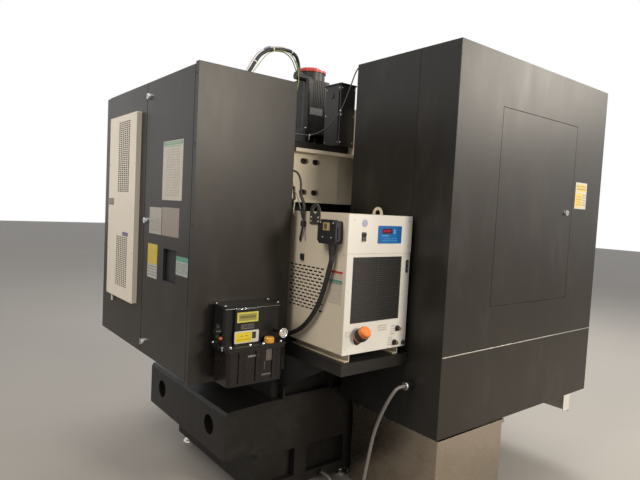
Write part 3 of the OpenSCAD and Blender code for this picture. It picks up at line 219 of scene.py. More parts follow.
class Finish:  # a material, its Principled shader and the ways to feed it
    def __init__(self, name, **values):
        self.material = bpy.data.materials.new(name)
        self.material.use_nodes = True
        self.tree = self.material.node_tree
        self.shader = self.tree.nodes["Principled BSDF"]
        for key, value in values.items():
            self.set(key, value)

    def set(self, socket, value):
        if isinstance(value, Wire):
            self.tree.links.new(value.socket, self.shader.inputs[socket])
        else:
            self.shader.inputs[socket].default_value = opaque(value)

    def node(self, kind, settings=None, inputs=None, out=0):
        made = self.tree.nodes.new(kind)
        for key, value in (settings or {}).items():
            if key == "stops":
                while len(made.color_ramp.elements) < len(value):
                    made.color_ramp.elements.new(0.5)
                for element, (at, colour) in zip(made.color_ramp.elements, value):
                    element.position, element.color = at, (*colour, 1)
            else:
                setattr(made, key, value)
        for key, value in (inputs or {}).items():
            if isinstance(value, Wire):
                self.tree.links.new(value.socket, made.inputs[key])
            else:
                made.inputs[key].default_value = opaque(value, made.inputs[key].type == "RGBA")
        return Wire(self, made.outputs[out])

    def spot(self, stretch=(1, 1, 1)):  # coordinates of the piece, stretched
        at = self.node("ShaderNodeTexCoord", out="Object")
        return self.node("ShaderNodeMapping", {}, {"Vector": at, "Scale": stretch})

    def noise(self, scale, detail=3.0, rough=0.5, stretch=(1, 1, 1)):
        return self.node("ShaderNodeTexNoise", {"noise_dimensions": "3D"},
                         {"Vector": self.spot(stretch), "Scale": scale, "Detail": detail, "Roughness": rough})

    def blend(self, factor, first, second):
        return self.node("ShaderNodeMix", {"data_type": "RGBA", "clamp_factor": True},
                         {0: factor, 6: first, 7: second}, 2)

    # a Bump node, over rounded edges where edge is given
    def relief(self, height, distance, strength=1.0, edge=0.0):
        inputs = {"Height": height, "Distance": distance, "Strength": strength}
        if edge:
            inputs["Normal"] = self.node("ShaderNodeBevel", {"samples": 4}, {"Radius": edge})
        self.set("Normal", self.node("ShaderNodeBump", {}, inputs))

    def axis(self, name, source="Object"):
        at = self.node("ShaderNodeTexCoord", out=source)
        return self.node("ShaderNodeSeparateXYZ", {}, {0: at}, name)


def scaled(colour, k):
    return tuple(min(c * k, 1.0) for c in colour)


def paint(name, colour, rough=0.38, peel=0.00006, edge=0.0012, edgeWearAndHighlight=0.1, dust=0.04, shine=0.5, paintedShadeAndMarks=None):
    # powder coat: slow tone changes, dust in the hollows of a noise, orange peel, and edges that are partly
    # worn and partly a painted highlight: lighter on dark paint, darker on pale paint
    f = Finish(name, **{"Specular IOR Level": shine})
    tone = f.noise(1.7, 4)
    smear = f.noise(9.0, 5, 0.6, (1, 1, 0.35))
    speck = f.noise(420.0, 2)
    base = f.blend(tone.between(0.3, 0.7), scaled(colour, 0.88), scaled(colour, 1.1))
    base = f.blend(speck.between(0.62, 0.8) * 0.25, base, scaled(colour, 1.5))
    base = f.blend(smear.between(0.5, 0.8) * dust, base, (0.42, 0.39, 0.34))
    round_ = f.node("ShaderNodeBevel", {"samples": 4}, {"Radius": edge * 1.6})
    flat = f.node("ShaderNodeNewGeometry", out="Normal")
    alike = f.node("ShaderNodeVectorMath", {"operation": "DOT_PRODUCT"}, {0: round_, 1: flat}, "Value")
    # edge mask: wear, and on dark paint a painted highlight along the edges
    edgeWearAndHighlightMask = (1.0 - alike).between(0.02, 0.22) * f.noise(60.0, 3).between(0.42, 0.62) * edgeWearAndHighlight
    base = f.blend(edgeWearAndHighlightMask, base, scaled(colour, 3.0) if sum(colour) < 0.5 else scaled(colour, 0.6))
    # fields of another colour inside the piece: painted shade in hollows, and marks of the part's own colour
    for mask, tint in (paintedShadeAndMarks(f) if paintedShadeAndMarks else ()):
        base = f.blend(mask, base, tint)
    f.set("Base Color", base)
    f.set("Roughness", rough + smear * 0.12 - 0.06)
    f.relief(f.noise(900.0, 2), peel, 0.6, edge)
    return f.material


def castPaint(name, colour):  # thick paint over a sand casting: slow lumps and fine pits
    f = Finish(name, **{"Specular IOR Level": 0.24})
    tone = f.noise(2.3, 4)
    grime = f.noise(14.0, 5, 0.65)
    f.set("Base Color", f.blend(grime.between(0.5, 0.78) * 0.3,
                                f.blend(tone, scaled(colour, 0.8), scaled(colour, 1.25)),
                                (0.060, 0.052, 0.042)))
    f.set("Roughness", 0.42 + grime * 0.2 - 0.1)
    f.relief(f.noise(22.0, 5, 0.6) * 0.8 + f.noise(240.0, 2) * 0.2, 0.0022, 0.7, 0.003)
    return f.material


def metal(name, colour, rough=0.28, along=(1, 1, 60), lines=0.00006, stain=0.2, edge=0.0008):
    # bright metal: fine lines along one direction, and dull patches
    f = Finish(name, Metallic=1.0)
    line = f.noise(26.0, 4, 0.7, along)
    patch = f.noise(7.0, 5, 0.6)
    f.set("Base Color", f.blend(patch.between(0.45, 0.75) * stain,
                                f.blend(line, scaled(colour, 0.85), scaled(colour, 1.12)),
                                scaled(colour, 0.55)))
    f.set("Roughness", rough + line * 0.12 + patch * 0.1 - 0.1)
    f.relief(line, lines, 0.5, edge)
    return f.material


def plastic(name, colour, rough=0.35, grain=0.00008, scale=700.0, edge=0.0006, **values):
    f = Finish(name, **values)
    tone = f.noise(30.0, 3)
    f.set("Base Color", f.blend(tone, scaled(colour, 0.86), scaled(colour, 1.14)))
    f.set("Roughness", rough + f.noise(45.0, 4).between(0.3, 0.7) * 0.12 - 0.04)
    f.relief(f.noise(scale, 2), grain, 0.7, edge)
    return f.material


def inside(f, low, high):  # 1 between two corners of the piece's own coordinates
    mask = 1.0
    for name, a, b in zip("XYZ", low, high):
        at = f.axis(name)
        mask = (at > a) * (at < b) * mask
    return mask


def chillerShade(f):  # painted shade in the hollow behind the louvres, grey lugs
    return [(inside(f, (-0.9575, 0.3118, 0.9035), (-0.5405, 0.7022, 1.5075)), (0.012, 0.011, 0.010)),
            (inside(f, (-1, 0.7042, 1.45), (-0.5, 0.72, 1.6)), (0.05, 0.048, 0.045)),
            (inside(f, (-1, 0.29, 1.45), (-0.5, 0.3088, 1.6)), (0.05, 0.048, 0.045))]


def filterShade(f):  # black slats with the fine weave of a dust filter
    weave = ((f.axis("Y") % 0.0022 < 0.0008) + (f.axis("Z") % 0.0022 < 0.0008)).between(0, 1)
    dark = f.blend(weave, (0.022, 0.021, 0.019), (0.05, 0.047, 0.042))
    return [(inside(f, (-0.9663, 0.3652, 1.0342), (-0.9, 0.6678, 1.3248)), dark)]


def coolerShade(f):  # painted dark behind the grilles: its dark filter foam, and painted shade in the hollow
    return [(inside(f, (0.0975, 1.2, 1.0215), (0.3985, 1.2648, 1.9375)), (0.010, 0.010, 0.010))]


finishes = {
    "charcoal_paint": paint("charcoalPaint", (0.024, 0.0198, 0.0156), 0.38, shine=0.32),
    "casting_paint": castPaint("castingPaint", (0.016, 0.0145, 0.013)),
    "cream_paint": paint("creamPaint", (0.74, 0.655, 0.51), 0.42, edgeWearAndHighlight=0.25, dust=0.08),
    "white_paint": paint("whitePaint", (0.72, 0.70, 0.63), 0.38, edgeWearAndHighlight=0.2, dust=0.06),
    "ground_steel": metal("groundSteel", (0.60, 0.60, 0.60), 0.22, (60, 1, 1)),
    "zinc": metal("zincPlate", (0.62, 0.60, 0.54), 0.34, (4, 4, 4), stain=0.4),
    "chrome": metal("chromePlate", (0.78, 0.78, 0.80), 0.12, (3, 3, 3), 0.00001, 0.08),
    "table_iron": metal("tableIron", (0.36, 0.36, 0.35), 0.34, (1, 40, 1), stain=0.35),
    "motor_black": paint("motorBlack", (0.016, 0.0155, 0.015), 0.36, 0.00012, 0.0015, 0.2, shine=0.4),
    "red_plastic": plastic("redPlastic", (0.55, 0.045, 0.03), 0.3),
    "orange_plastic": plastic("orangePlastic", (0.80, 0.22, 0.035), 0.34),
    "amber_plastic": plastic("amberPlastic", (0.72, 0.36, 0.05), 0.3),
    "black_plastic": plastic("blackPlastic", (0.018, 0.018, 0.019), 0.42),
    "gloss_black": plastic("glossBlack", (0.012, 0.012, 0.013), 0.14, 0.00003),
    "smoke_plastic": plastic("smokePlastic", (0.0145, 0.011, 0.0105), 0.24, 0.00002,
                             **{"Specular IOR Level": 0.3, "Alpha": 0.94}),
    "stainless": metal("stainlessSheet", (0.47, 0.405, 0.33), 0.26, (1, 1, 45), 0.00008, 0.25, 0.002),
    "glass": plastic("safetyGlass", (0.55, 0.62, 0.62), 0.05, 0.00001, Alpha=0.32),
    "rubber": plastic("cableRubber", (0.016, 0.016, 0.016), 0.5, 0.0001, 300.0),
    "grey_conduit": plastic("greyConduit", (0.22, 0.205, 0.185), 0.28, 0.00008, 200.0),
}
handledCoat = {"rough": 0.42, "edgeWearAndHighlight": 0.25, "dust": 0.08}
own = {  # nodes with a finish of their own inside their slot
    "chiller_body": paint("chillerPaint", (0.74, 0.655, 0.51), **handledCoat, paintedShadeAndMarks=chillerShade),
    # a lighter, whiter copy of the chiller's cream paint for its brightly lit front: painted light
    "chiller_front": paint("chillerFrontLitPaint", (0.84, 0.82, 0.755), **handledCoat, paintedShadeAndMarks=filterShade),
    "cooler": paint("coolerPaint", (0.86, 0.79, 0.66), **handledCoat, paintedShadeAndMarks=coolerShade),
    "chiller_shelf": paint("shelfPaint", (0.018, 0.017, 0.015), 0.45, shine=0.3),
    "lube_pump": paint("lubeHousingPaint", (0.011, 0.0105, 0.010), 0.36, dust=0.02, shine=0.26),
    # a darker copy of the charcoal paint for the guard's rear, which stands in shadow: painted shade, also
    # used for the guard and wall screws
    "guard_rear": paint("guardRearShadedPaint", (0.020, 0.018, 0.0155), 0.38, shine=0.3),
}
nodeSlots = {p["node"]: p["material_slot"] for p in frame["record"]["subparts"]}
for nodeName, node in frame["nodes"].items():
    finish = own.get(nodeName) or finishes[nodeSlots[nodeName]]
    if node.data.materials:
        for k in range(len(node.data.materials)):
            node.data.materials[k] = finish
    else:
        node.data.materials.append(finish)
print("finishes", len(finishes))

# Camera, light and floor

cameraFit = {"place": (-2.659, 2.203, 1.531), "yaw": 2.2427, "pitch": -0.0604, "roll": 0.0509, "lens": 29.94}
yaw, pitch, roll = (cameraFit[k] for k in ("yaw", "pitch", "roll"))
ahead = Vector((math.sin(yaw) * math.cos(pitch), math.cos(yaw) * math.cos(pitch), math.sin(pitch)))
level = Vector((math.cos(yaw), -math.sin(yaw), 0))
above = level.cross(ahead)
right = level * math.cos(roll) + above * math.sin(roll)
up = above * math.cos(roll) - level * math.sin(roll)
cameraData = bpy.data.cameras.new("camera")
cameraData.lens, cameraData.sensor_width, cameraData.clip_end = cameraFit["lens"], 36.0, 100.0
camera = bpy.data.objects.new("camera", cameraData)
bpy.context.scene.collection.objects.link(camera)
turn = Matrix((right, up, -ahead)).transposed().to_4x4()
camera.matrix_world = Matrix.Translation(cameraFit["place"]) @ turn
bpy.context.scene.camera = camera

lamps = {  # place, aimed at, size, power, colour
    "windowLamp": ((-5.4, -0.9, 2.9), (-0.9, 0.4, 1.3), 1.0, 158, (1.0, 0.90, 0.76)),
    "doorLamp": ((-4.4, -5.2, 3.9), (-1.2, -0.3, 1.6), 1.8, 170, (1.0, 0.92, 0.80)),
    "roofLamp": ((-1.0, 4.2, 5.0), (-0.3, 1.0, 1.6), 2.6, 150, (1.0, 0.91, 0.80)),
    "frontLamp": ((2.2, -4.2, 5.6), (0.2, -0.6, 1.1), 3.0, 250, (1.0, 0.98, 0.95)),
}
for name, (place, aim, size, power, colour) in lamps.items():
    data = bpy.data.lights.new(name, "AREA")
    data.size, data.energy, data.color = size, power, colour
    lamp = bpy.data.objects.new(name, data)
    lamp.location = place
    lamp.rotation_euler = (Vector(aim) - Vector(place)).to_track_quat("-Z", "Y").to_euler()
    bpy.context.scene.collection.objects.link(lamp)

world = bpy.data.worlds.new("room")
bpy.context.scene.world = world
world.use_nodes = True
sky = world.node_tree
path = sky.nodes.new("ShaderNodeLightPath")
seen = sky.nodes.new("ShaderNodeMath")
seen.operation = "MAXIMUM"
shown = sky.nodes.new("ShaderNodeMath")
shown.operation = "MAXIMUM"
sky.links.new(path.outputs["Is Camera Ray"], seen.inputs[0])
sky.links.new(path.outputs["Is Transmission Ray"], seen.inputs[1])
sky.links.new(seen.outputs[0], shown.inputs[0])
sky.links.new(path.outputs["Is Glossy Ray"], shown.inputs[1])
strength = sky.nodes.new("ShaderNodeMapRange")
roomLight = {"thrown": 0.36, "seen": 1.0}  # strength for bounced light, and for what the camera sees
strength.inputs["To Min"].default_value = roomLight["thrown"]
strength.inputs["To Max"].default_value = roomLight["seen"]
sky.links.new(shown.outputs[0], strength.inputs["Value"])
sky.nodes["Background"].inputs["Color"].default_value = (1, 1, 1, 1)
sky.links.new(strength.outputs[0], sky.nodes["Background"].inputs["Strength"])
bpy.context.scene.view_settings.view_transform = "Standard"

floorFinish = Finish("paleFloor", Roughness=0.7)
eyeRays = [floorFinish.node("ShaderNodeLightPath", out=f"Is {ray} Ray")
           for ray in ("Camera", "Glossy", "Transmission")]
eye = sum(eyeRays, 0.0)
floorTones = {"seen": ((0.35, 0.33, 0.305), (0.41, 0.385, 0.355)), "thrown": (0.22, 0.21, 0.20)}
floorSeen = floorFinish.blend(floorFinish.noise(0.8, 4), *floorTones["seen"])
floorFinish.set("Base Color", floorFinish.blend(eye, floorTones["thrown"], floorSeen))
floorMesh, reach = bpy.data.meshes.new("floor"), 30
floorCorners = [(-reach, -reach, 0), (reach, -reach, 0), (reach, reach, 0), (-reach, reach, 0)]
floorMesh.from_pydata(floorCorners, [], [(0, 1, 2, 3)])
floorMesh.materials.append(floorFinish.material)
floor = bpy.data.objects.new("floor", floorMesh)
bpy.context.scene.collection.objects.link(floor)
print("camera and light")

# Cords, on the same routes as their solids

routes = {  # millimetres
    "conduit": [(-1000, 330, 713), (-1000, 341, 713), (-1000, 352, 713), (-992, 382, 700), (-962, 403, 632),
        (-925, 406, 550), (-890, 404, 460), (-866, 402, 360), (-845, 402, 250), (-818, 400, 140),
        (-765, 396, 52), (-700, 390, 17), (-636, 386, 20), (-596, 383, 44), (-564, 381, 74),
        (-530, 380, 85), (-508, 380, 85), (-486, 380, 85)],
    "plug_cable": [(-891, 728, 1328), (-891, 728, 1316), (-891, 728, 1304), (-876, 727, 1258),
        (-850, 726, 1180), (-813, 725, 1101), (-764, 725, 1032), (-692, 725, 966), (-620, 725, 929),
        (-575, 724, 908), (-540, 717, 896), (-508, 698, 890), (-484, 690, 890), (-466, 700, 890),
        (-460, 716, 890), (-460, 728, 890), (-460, 738, 890)],
    "motor_cable": [(-60, 362, 2325), (-60, 362, 2340), (-60, 362, 2355), (-70, 389, 2400),
        (-80, 450, 2419), (-90, 550, 2403), (-88, 600, 2385), (-86, 650, 2344), (-92, 700, 2268),
        (-98, 742, 2206), (-100, 765, 2176), (-100, 775, 2158), (-100, 775, 2145), (-100, 775, 2132)],
    "sensor_cable": [(-532, 746, 1884), (-532, 734, 1884), (-532, 722, 1884), (-522, 685, 1882),
        (-492, 620, 1889), (-468, 560, 1898), (-448, 480, 1925), (-450, 420, 1970), (-461, 360, 2050),
        (-466, 310, 2170), (-464, 278, 2250), (-468, 263, 2284), (-480, 262, 2290), (-490, 262, 2290),
        (-500, 262, 2290)],
}
cordSizes = {  # diameter, sides, stiffness, rib pitch and depth
    "conduit": (0.0165, 18, "stiff", 0.0044, 0.0008), "plug_cable": (0.0225, 16, "stiff", 0, 0),
    "motor_cable": (0.020, 16, "stiff", 0, 0), "sensor_cable": (0.007, 12, "medium", 0, 0),
}
cordSlots = {"conduit": "grey_conduit"}
ringsPerRib = 4
for name, route in routes.items():
    diameter, sides, stiffness, pitch, depth = cordSizes[name]
    line = cordLine(route, pitch / ringsPerRib if pitch else 0.006)
    radius = np.full(len(line), diameter / 2)
    if pitch:  # r = R - depth (1 - cos(2 pi s / pitch)) / 2
        radius -= depth * (1 - np.cos(2 * np.pi * np.arange(len(line)) / ringsPerRib)) / 2
    slot = cordSlots.get(name, "rubber")
    cord = piece(name + "_run", hose(line, radius, sides), "machine", finishes[slot], 60)
    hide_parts(name)
    print("cord", name, round(routeLength(line), 3))

# Labels, screws and other small parts


# Rows of print: noise cells along a row and between rows, least noise, height in a row, strength
strokes = {"along": 34.0, "between": 5.3, "least": 0.44, "low": 0.34, "high": 0.74, "strength": 0.8}


def printed(name, ground, marks=(), lines=(), rough=0.35):
    # flat fields at set places of the UV square, and rows of short strokes: row by height, stroke where a
    # noise is high
    f = Finish(name, Roughness=rough)
    u, v = f.axis("X", "UV"), f.axis("Y", "UV")
    colour = f.blend(f.noise(60.0, 3).between(0.35, 0.7), scaled(ground, 0.92), scaled(ground, 1.05))
    for u0, v0, u1, v1, tint in marks:
        colour = f.blend((u > u0) * (u < u1) * (v > v0) * (v < v1), colour, tint)
    for u0, v0, u1, v1, rows, tint in lines:
        row = (v - v0) * (rows / (v1 - v0))
        cell = {0: u * (strokes["along"] / (u1 - u0)), 1: row.apply("FLOOR") * strokes["between"]}
        at = f.node("ShaderNodeCombineXYZ", {}, cell)
        word = f.node("ShaderNodeTexNoise", {}, {"Vector": at, "Scale": 1.0, "Detail": 1.0}) > strokes["least"]
        stroke = (row % 1.0 > strokes["low"]) * (row % 1.0 < strokes["high"]) * word
        stroke = stroke * (u > u0) * (u < u1) * (v > v0) * (v < v1) * strokes["strength"]
        colour = f.blend(stroke, colour, tint)
    f.set("Base Color", colour)
    f.relief(f.noise(500.0, 2), 0.00003, 0.5)
    return f.material


def sticker(name, body, side, centre, width, height, look, slot="white_paint", thick=0.0005, radius=0.002):
    shape = pad(width, height, thick, radius, 0.0001)
    square = shape[0][:, :2] / (width, height) + 0.5
    return piece(name, placed(shape, centre, side), body, look, 30, square)


def grid(xs, ys, zs):  # every place of a grid; a single number stands for one row
    return [(x, y, z) for x in np.atleast_1d(xs) for y in np.atleast_1d(ys) for z in np.atleast_1d(zs)]


def spread(shape, places, side):  # one shape at many places
    return joined(*[placed(shape, place, side) for place in places])


def screwHead(radius, rise):  # pan head with a socket
    shares = [(0, 0), (1, 0), (1, 0.45), (0.86, 0.8), (0.6, 1), (0.42, 1), (0.38, 0.4), (0, 0.35)]
    return turned([(a * radius, b * rise) for a, b in shares], 20)


def screws(name, body, side, places, radius=0.004, rise=0.0025, slot="zinc", finish=None):
    heads = spread(screwHead(radius, rise), places, side)
    return piece(name, heads, body, finish or finishes[slot], 30)


def bar(low, high, radius=0.0008):  # a box between two corners with softened edges
    low, high = np.array(low, float), np.array(high, float)
    size = high - low
    soft = min(radius, size.min() * 0.4)
    levels = [(soft, 0), (0, soft), (0, size[2] - soft), (soft, size[2])]
    points, faces = slab(size[0], size[1], soft * 1.2, levels, 2)
    return points + [*(low + high)[:2] / 2, low[2]], faces


def fourBars(x, y, z, width):  # an upright frame: bars below, above, left and right
    (x0, x1), (y0, y1), (z0, z1) = x, y, z
    return joined(bar((x0, y0, z0), (x1, y1, z0 + width)), bar((x0, y0, z1 - width), (x1, y1, z1)),
                  bar((x0, y0, z0), (x0 + width, y1, z1)), bar((x1 - width, y0, z0), (x1, y1, z1)))


def faceOf(nodeName, side):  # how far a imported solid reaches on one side
    axis, outermost = {"left": (0, min), "right": (0, max), "front": (1, min), "rear": (1, max)}[side]
    vertices = frame["nodes"][nodeName].data.vertices
    flat = np.empty(3 * len(vertices), np.float32)
    vertices.foreach_get("co", flat)
    return round(float(outermost(flat[axis::3])), 4)


# Faces that small parts stand on: from the frame where a solid ends there, otherwise as the solids were built
doorFace, coolerFace = faceOf("plain_door", "rear"), faceOf("cooler", "rear")
guardFace, wallFace = faceOf("guard_side", "left"), faceOf("enclosure_shell", "right")
frontFace = faceOf("front_frame", "front")
chillerFace, chillerLowFace, chillerRear = -0.967, -0.9655, 0.704
guardRearFace, plugFace, pumpEnd, tankFace = 0.285, 0.749, 1.137, -0.7491
boxFace, boxRear = -0.385, 0.300

ink = (0.09, 0.09, 0.09)
paper = (0.82, 0.79, 0.72)
# Labels: body, side, centre, width, height, ground, fields, rows of strokes; u runs right seen from outside
labels = {
    "doorChart": ("plain_door", "rear", (-0.3665, doorFace, 1.664), 0.219, 0.267, (0.56, 0.52, 0.43),
        [(0.02, 0.925, 0.98, 0.985, (0.17, 0.34, 0.22)), (0.05, 0.895, 0.9, 0.91, (0.22, 0.40, 0.28))],
        [(0.16, 0.06, 0.86, 0.87, 19, (0.36, 0.34, 0.28)), (0.15, 0.93, 0.9, 0.98, 1, (0.42, 0.48, 0.38))]),
    "doorPlate": ("plain_door", "rear", (-0.183, doorFace, 1.4305), 0.150, 0.127, (0.42, 0.40, 0.34), [],
        [(0.1, 0.1, 0.9, 0.62, 6, (0.22, 0.21, 0.18))]),
    "doorBlank": ("plain_door", "rear", (-0.361, doorFace, 1.432), 0.192, 0.130, (0.30, 0.255, 0.215),
        [], []),
    "doorNotice": ("plain_door", "rear", (-0.501, doorFace, 1.247), 0.122, 0.082, (0.42, 0.47, 0.42),
        [(0.0, 0.74, 1.0, 1.0, (0.11, 0.34, 0.24))], [(0.06, 0.1, 0.94, 0.68, 5, ink)]),
    "doorYellow": ("plain_door", "rear", (-0.160, doorFace, 1.235), 0.121, 0.164, (0.66, 0.50, 0.06),
        [(0.0, 0.0, 1.0, 0.42, (0.50, 0.50, 0.45))], [(0.08, 0.05, 0.92, 0.38, 4, ink)]),
    "guardNotice": ("machine", "left", (guardFace, -0.886, 1.675), 0.132, 0.150, (0.62, 0.60, 0.54),
        [(0.05, 0.06, 0.62, 0.60, (0.80, 0.55, 0.10)), (0.05, 0.66, 0.95, 0.93, (0.70, 0.55, 0.16))],
        [(0.1, 0.7, 0.9, 0.9, 2, ink), (0.66, 0.1, 0.94, 0.58, 5, ink),
        (0.12, 0.12, 0.56, 0.5, 4, (0.35, 0.2, 0.08))]),
    "coolerBadge": ("cooler_door", "rear", (0.409, coolerFace, 1.5075), 0.086, 0.037, (0.17, 0.135, 0.08),
        [(0.30, 0.2, 0.72, 0.8, (0.24, 0.19, 0.12))], []),
    "coolerPlate": ("cooler_door", "rear", (0.168, coolerFace, 1.340), 0.088, 0.021, (0.20, 0.15, 0.28), [],
        [(0.06, 0.1, 0.94, 0.9, 2, (0.08, 0.06, 0.14))]),
    "chillerChart": ("machine", "rear", (-0.899, chillerRear, 1.1865), 0.088, 0.147, (0.62, 0.55, 0.45),
        [(0.0, 0.93, 1.0, 1.0, (0.50, 0.06, 0.04)), (0.0, 0.66, 0.98, 0.735, (0.12, 0.28, 0.22)),
        (0.0, 0.60, 1.0, 0.655, (0.26, 0.30, 0.25))], [(0.02, 0.76, 0.98, 0.91, 3, (0.33, 0.28, 0.22)),
        (0.02, 0.02, 0.98, 0.58, 11, (0.36, 0.30, 0.24))]),
    "chillerMark": ("machine", "left", (chillerFace, 0.622, 1.389), 0.016, 0.005, paper, [],
        [(0, 0, 1, 1, 1, ink)]),
    "fillNotice": ("machine", "left", (chillerLowFace, 0.678, 0.990), 0.034, 0.030, paper, [],
        [(0.05, 0.05, 0.95, 0.95, 4, (0.42, 0.27, 0.2))]),
    "portNotice": ("machine", "left", (chillerLowFace, 0.468, 1.000), 0.060, 0.034, paper, [],
        [(0.04, 0.05, 0.96, 0.95, 3, (0.42, 0.32, 0.25))]),
    "portNoticeHigh": ("machine", "left", (chillerLowFace, 0.397, 0.982), 0.030, 0.052, paper, [],
        [(0.04, 0.05, 0.96, 0.95, 4, (0.36, 0.30, 0.26))]),
    "portNoticeLow": ("machine", "left", (chillerLowFace, 0.412, 0.930), 0.032, 0.046, paper, [],
        [(0.04, 0.05, 0.96, 0.95, 4, (0.36, 0.30, 0.26))]),
    "lubeName": ("machine", "left", (-0.7175, 1.030, 1.050), 0.104, 0.044, (0.66, 0.60, 0.10),
        [(0.08, 0.16, 0.92, 0.84, (0.34, 0.31, 0.08))], [(0.12, 0.2, 0.88, 0.8, 1, (0.08, 0.08, 0.02))],
        "gloss_black"),
    "lubeLines": ("machine", "left", (-0.7175, 1.030, 1.009), 0.070, 0.026, (0.012, 0.012, 0.013), [],
        [(0.04, 0.05, 0.96, 0.95, 3, (0.30, 0.27, 0.22))], "gloss_black"),
    "motorPlate": ("machine", "left", (-0.094, 0.2425, 2.103), 0.096, 0.042, (0.30, 0.29, 0.28),
        [(0.03, 0.05, 0.97, 0.95, (0.24, 0.235, 0.23))], [(0.06, 0.12, 0.94, 0.9, 5, (0.55, 0.53, 0.5))],
        "motor_black"),
    "plugTag": ("machine", "rear", (-0.870, plugFace, 1.452), 0.046, 0.034, (0.48, 0.37, 0.16),
        [(0.12, 0.15, 0.6, 0.85, (0.13, 0.11, 0.08))], [], "black_plastic"),
}
for name, (body, side, centre, width, height, ground, fields, rows, *slot) in labels.items():
    sticker(name, body, side, centre, width, height, printed(name + "Print", ground, fields, rows), *slot)
print("labels", len(labels))

# Rear door: dark plate behind the square window with its rim, screws of the cooler and the post
window = {"x": (-0.445, -0.288), "y": (1.2224, 1.238), "z": (1.153, 1.313), "rim": 0.006}
recess = plastic("recessBlack", (0.007, 0.007, 0.007), 0.6)
(x0, x1), (z0, z1) = window["x"], window["z"]
plate = slab(x1 - x0, z1 - z0, 0.003, [(0, 0), (0, 0.002)])
piece("windowPlate", placed(plate, ((x0 + x1) / 2, window["y"][0], (z0 + z1) / 2), "rear"), "plain_door",
      recess)
rim = fourBars(window["x"], window["y"], window["z"], window["rim"])
piece("windowRim", rim, "plain_door", recess)
coolerEdge = grid((0.0545, 0.4415), coolerFace, (1.004, 1.25, 1.48, 1.71, 1.955))
screws("coolerScrews", "cooler_door", "rear", coolerEdge, 0.0042, 0.0022)
post = grid(-0.584, 1.241, (0.80, 1.09, 1.43, 1.77, 2.06))
screws("stripScrews", "machine", "rear", post, 0.004, 0.002, "charcoal_paint")

# Locks: a dark pad for the keyway, painted shade of its slot, in a thin ring on each knob
locks = {  # width and height of the keyway's painted shade, centre, side
    "cabinet_lock_low": (0.016, 0.0028, (-0.064, 1.2534, 0.820), "rear"),
    "cabinet_lock_middle": (0.016, 0.0028, (-0.064, 1.2534, 1.426), "rear"),
    "cabinet_lock_top": (0.016, 0.0028, (-0.064, 1.2534, 2.030), "rear"),
    "guard_lock": (0.0028, 0.016, (-1.182, -0.725, 1.572), "left"),
}
lockRing = turned([(0.0095, 0), (0.0095, 0.0005), (0.0082, 0.0005), (0.0082, 0)], 24)
for name, (width, height, centre, side) in locks.items():
    keywayShade = pad(width, height, 0.0006, 0.001, 0.0002)
    piece(name + "_slot", placed(joined(keywayShade, lockRing), centre, side), name, recess)

# Guard: bright ring of the cable gland, a painted highlight along the lower sheet's seam as a zinc strip with
# a painted shadow below it, edge screws
glandNut = turned([(0.0125, 0), (0.0196, 0), (0.0206, 0.0015), (0.0206, 0.011), (0.0192, 0.014),
                   (0.0186, 0.0152), (0.0094, 0.0152), (0.0094, 0.0146), (0.0125, 0.0146), (0.0125, 0)], 36)
piece("glandRing", placed(glandNut, (-1.0, 0.3155, 0.713), "rear"), "machine", finishes["chrome"])
seam = {"z": 0.883, "y": (-1.122, 0.2815), "drop": 0.0028, "shade": 0.0062}
# zinc strip on the charcoal seam: painted highlight along the fold
seamHighlightBar = bar((guardFace - 0.0016, seam["y"][0], seam["z"] - seam["drop"]),
              (guardFace + 0.0005, seam["y"][1], seam["z"] + 0.0016), 0.0005)
piece("guardSeamHighlight", seamHighlightBar, "machine", finishes["zinc"])
shadeBar = bar((guardFace - 0.0002, seam["y"][0], seam["z"] - seam["shade"]),
               (guardFace + 0.0002, seam["y"][1], seam["z"] - seam["drop"]), 0.0001)
piece("guardSeamShade", shadeBar, "machine", finishes["rubber"])
guardEdge = grid((-1.152, -0.518), guardRearFace, (0.53, 0.98, 1.43, 1.88, 2.27))
screws("guardScrews", "machine", "rear", guardEdge, 0.0045, 0.002, "charcoal_paint", own["guard_rear"])

# Chiller front: blue key panel with a dark display, screws, filter net and hinge knuckles
keyPanel = {"centre": (chillerFace, 0.454, 1.425), "size": (0.152, 0.080)}
keyPanelPrint = printed("keyPanelPrint", (0.016, 0.155, 0.46), [
    (0.17, 0.55, 0.59, 0.84, (0.10, 0.012, 0.02)), (0.17, 0.42, 0.45, 0.46, (0.25, 0.55, 0.85)),
    (0.66, 0.56, 0.72, 0.80, (0.15, 0.50, 0.85)), (0.82, 0.10, 0.98, 0.97, (0.012, 0.11, 0.34)),
], [(0.17, 0.10, 0.78, 0.34, 2, (0.10, 0.38, 0.72)), (0.22, 0.60, 0.54, 0.80, 1, (0.62, 0.03, 0.07))], 0.28)
sticker("keyPanel", "machine", "left", keyPanel["centre"], *keyPanel["size"], keyPanelPrint, "gloss_black",
        0.0012, 0.004)
_, keyMiddle, keyHeight = keyPanel["centre"]
keyPlaces = [(-0.9682, keyMiddle + a, keyHeight - 0.027) for a in (0.030, 0.006, -0.018, -0.042)]
piece("keyPanelKeys", spread(pad(0.015, 0.009, 0.0007, 0.002, 0.0003), keyPlaces, "left"), "machine",
      plastic("keyBlue", (0.03, 0.24, 0.62), 0.3))
emblem = turned([(0, 0), (0.017, 0), (0.017, 0.0005), (0.0165, 0.0006), (0, 0.0006)], 40)
piece("emblemSpot", placed(emblem, (chillerFace, 0.613, 1.474), "left"), "machine",
      plastic("emblemLilac", (0.44, 0.44, 0.57), 0.35))
chillerTop = grid(chillerFace, (0.675, 0.336), (1.374, 1.488))
screws("chillerScrews", "machine", "left", chillerTop, 0.0035, 0.0012)
chillerLow = grid(chillerLowFace, (0.690, 0.323), (0.925, 1.18))
screws("chillerLowScrews", "machine", "left", chillerLow, 0.0032, 0.001)
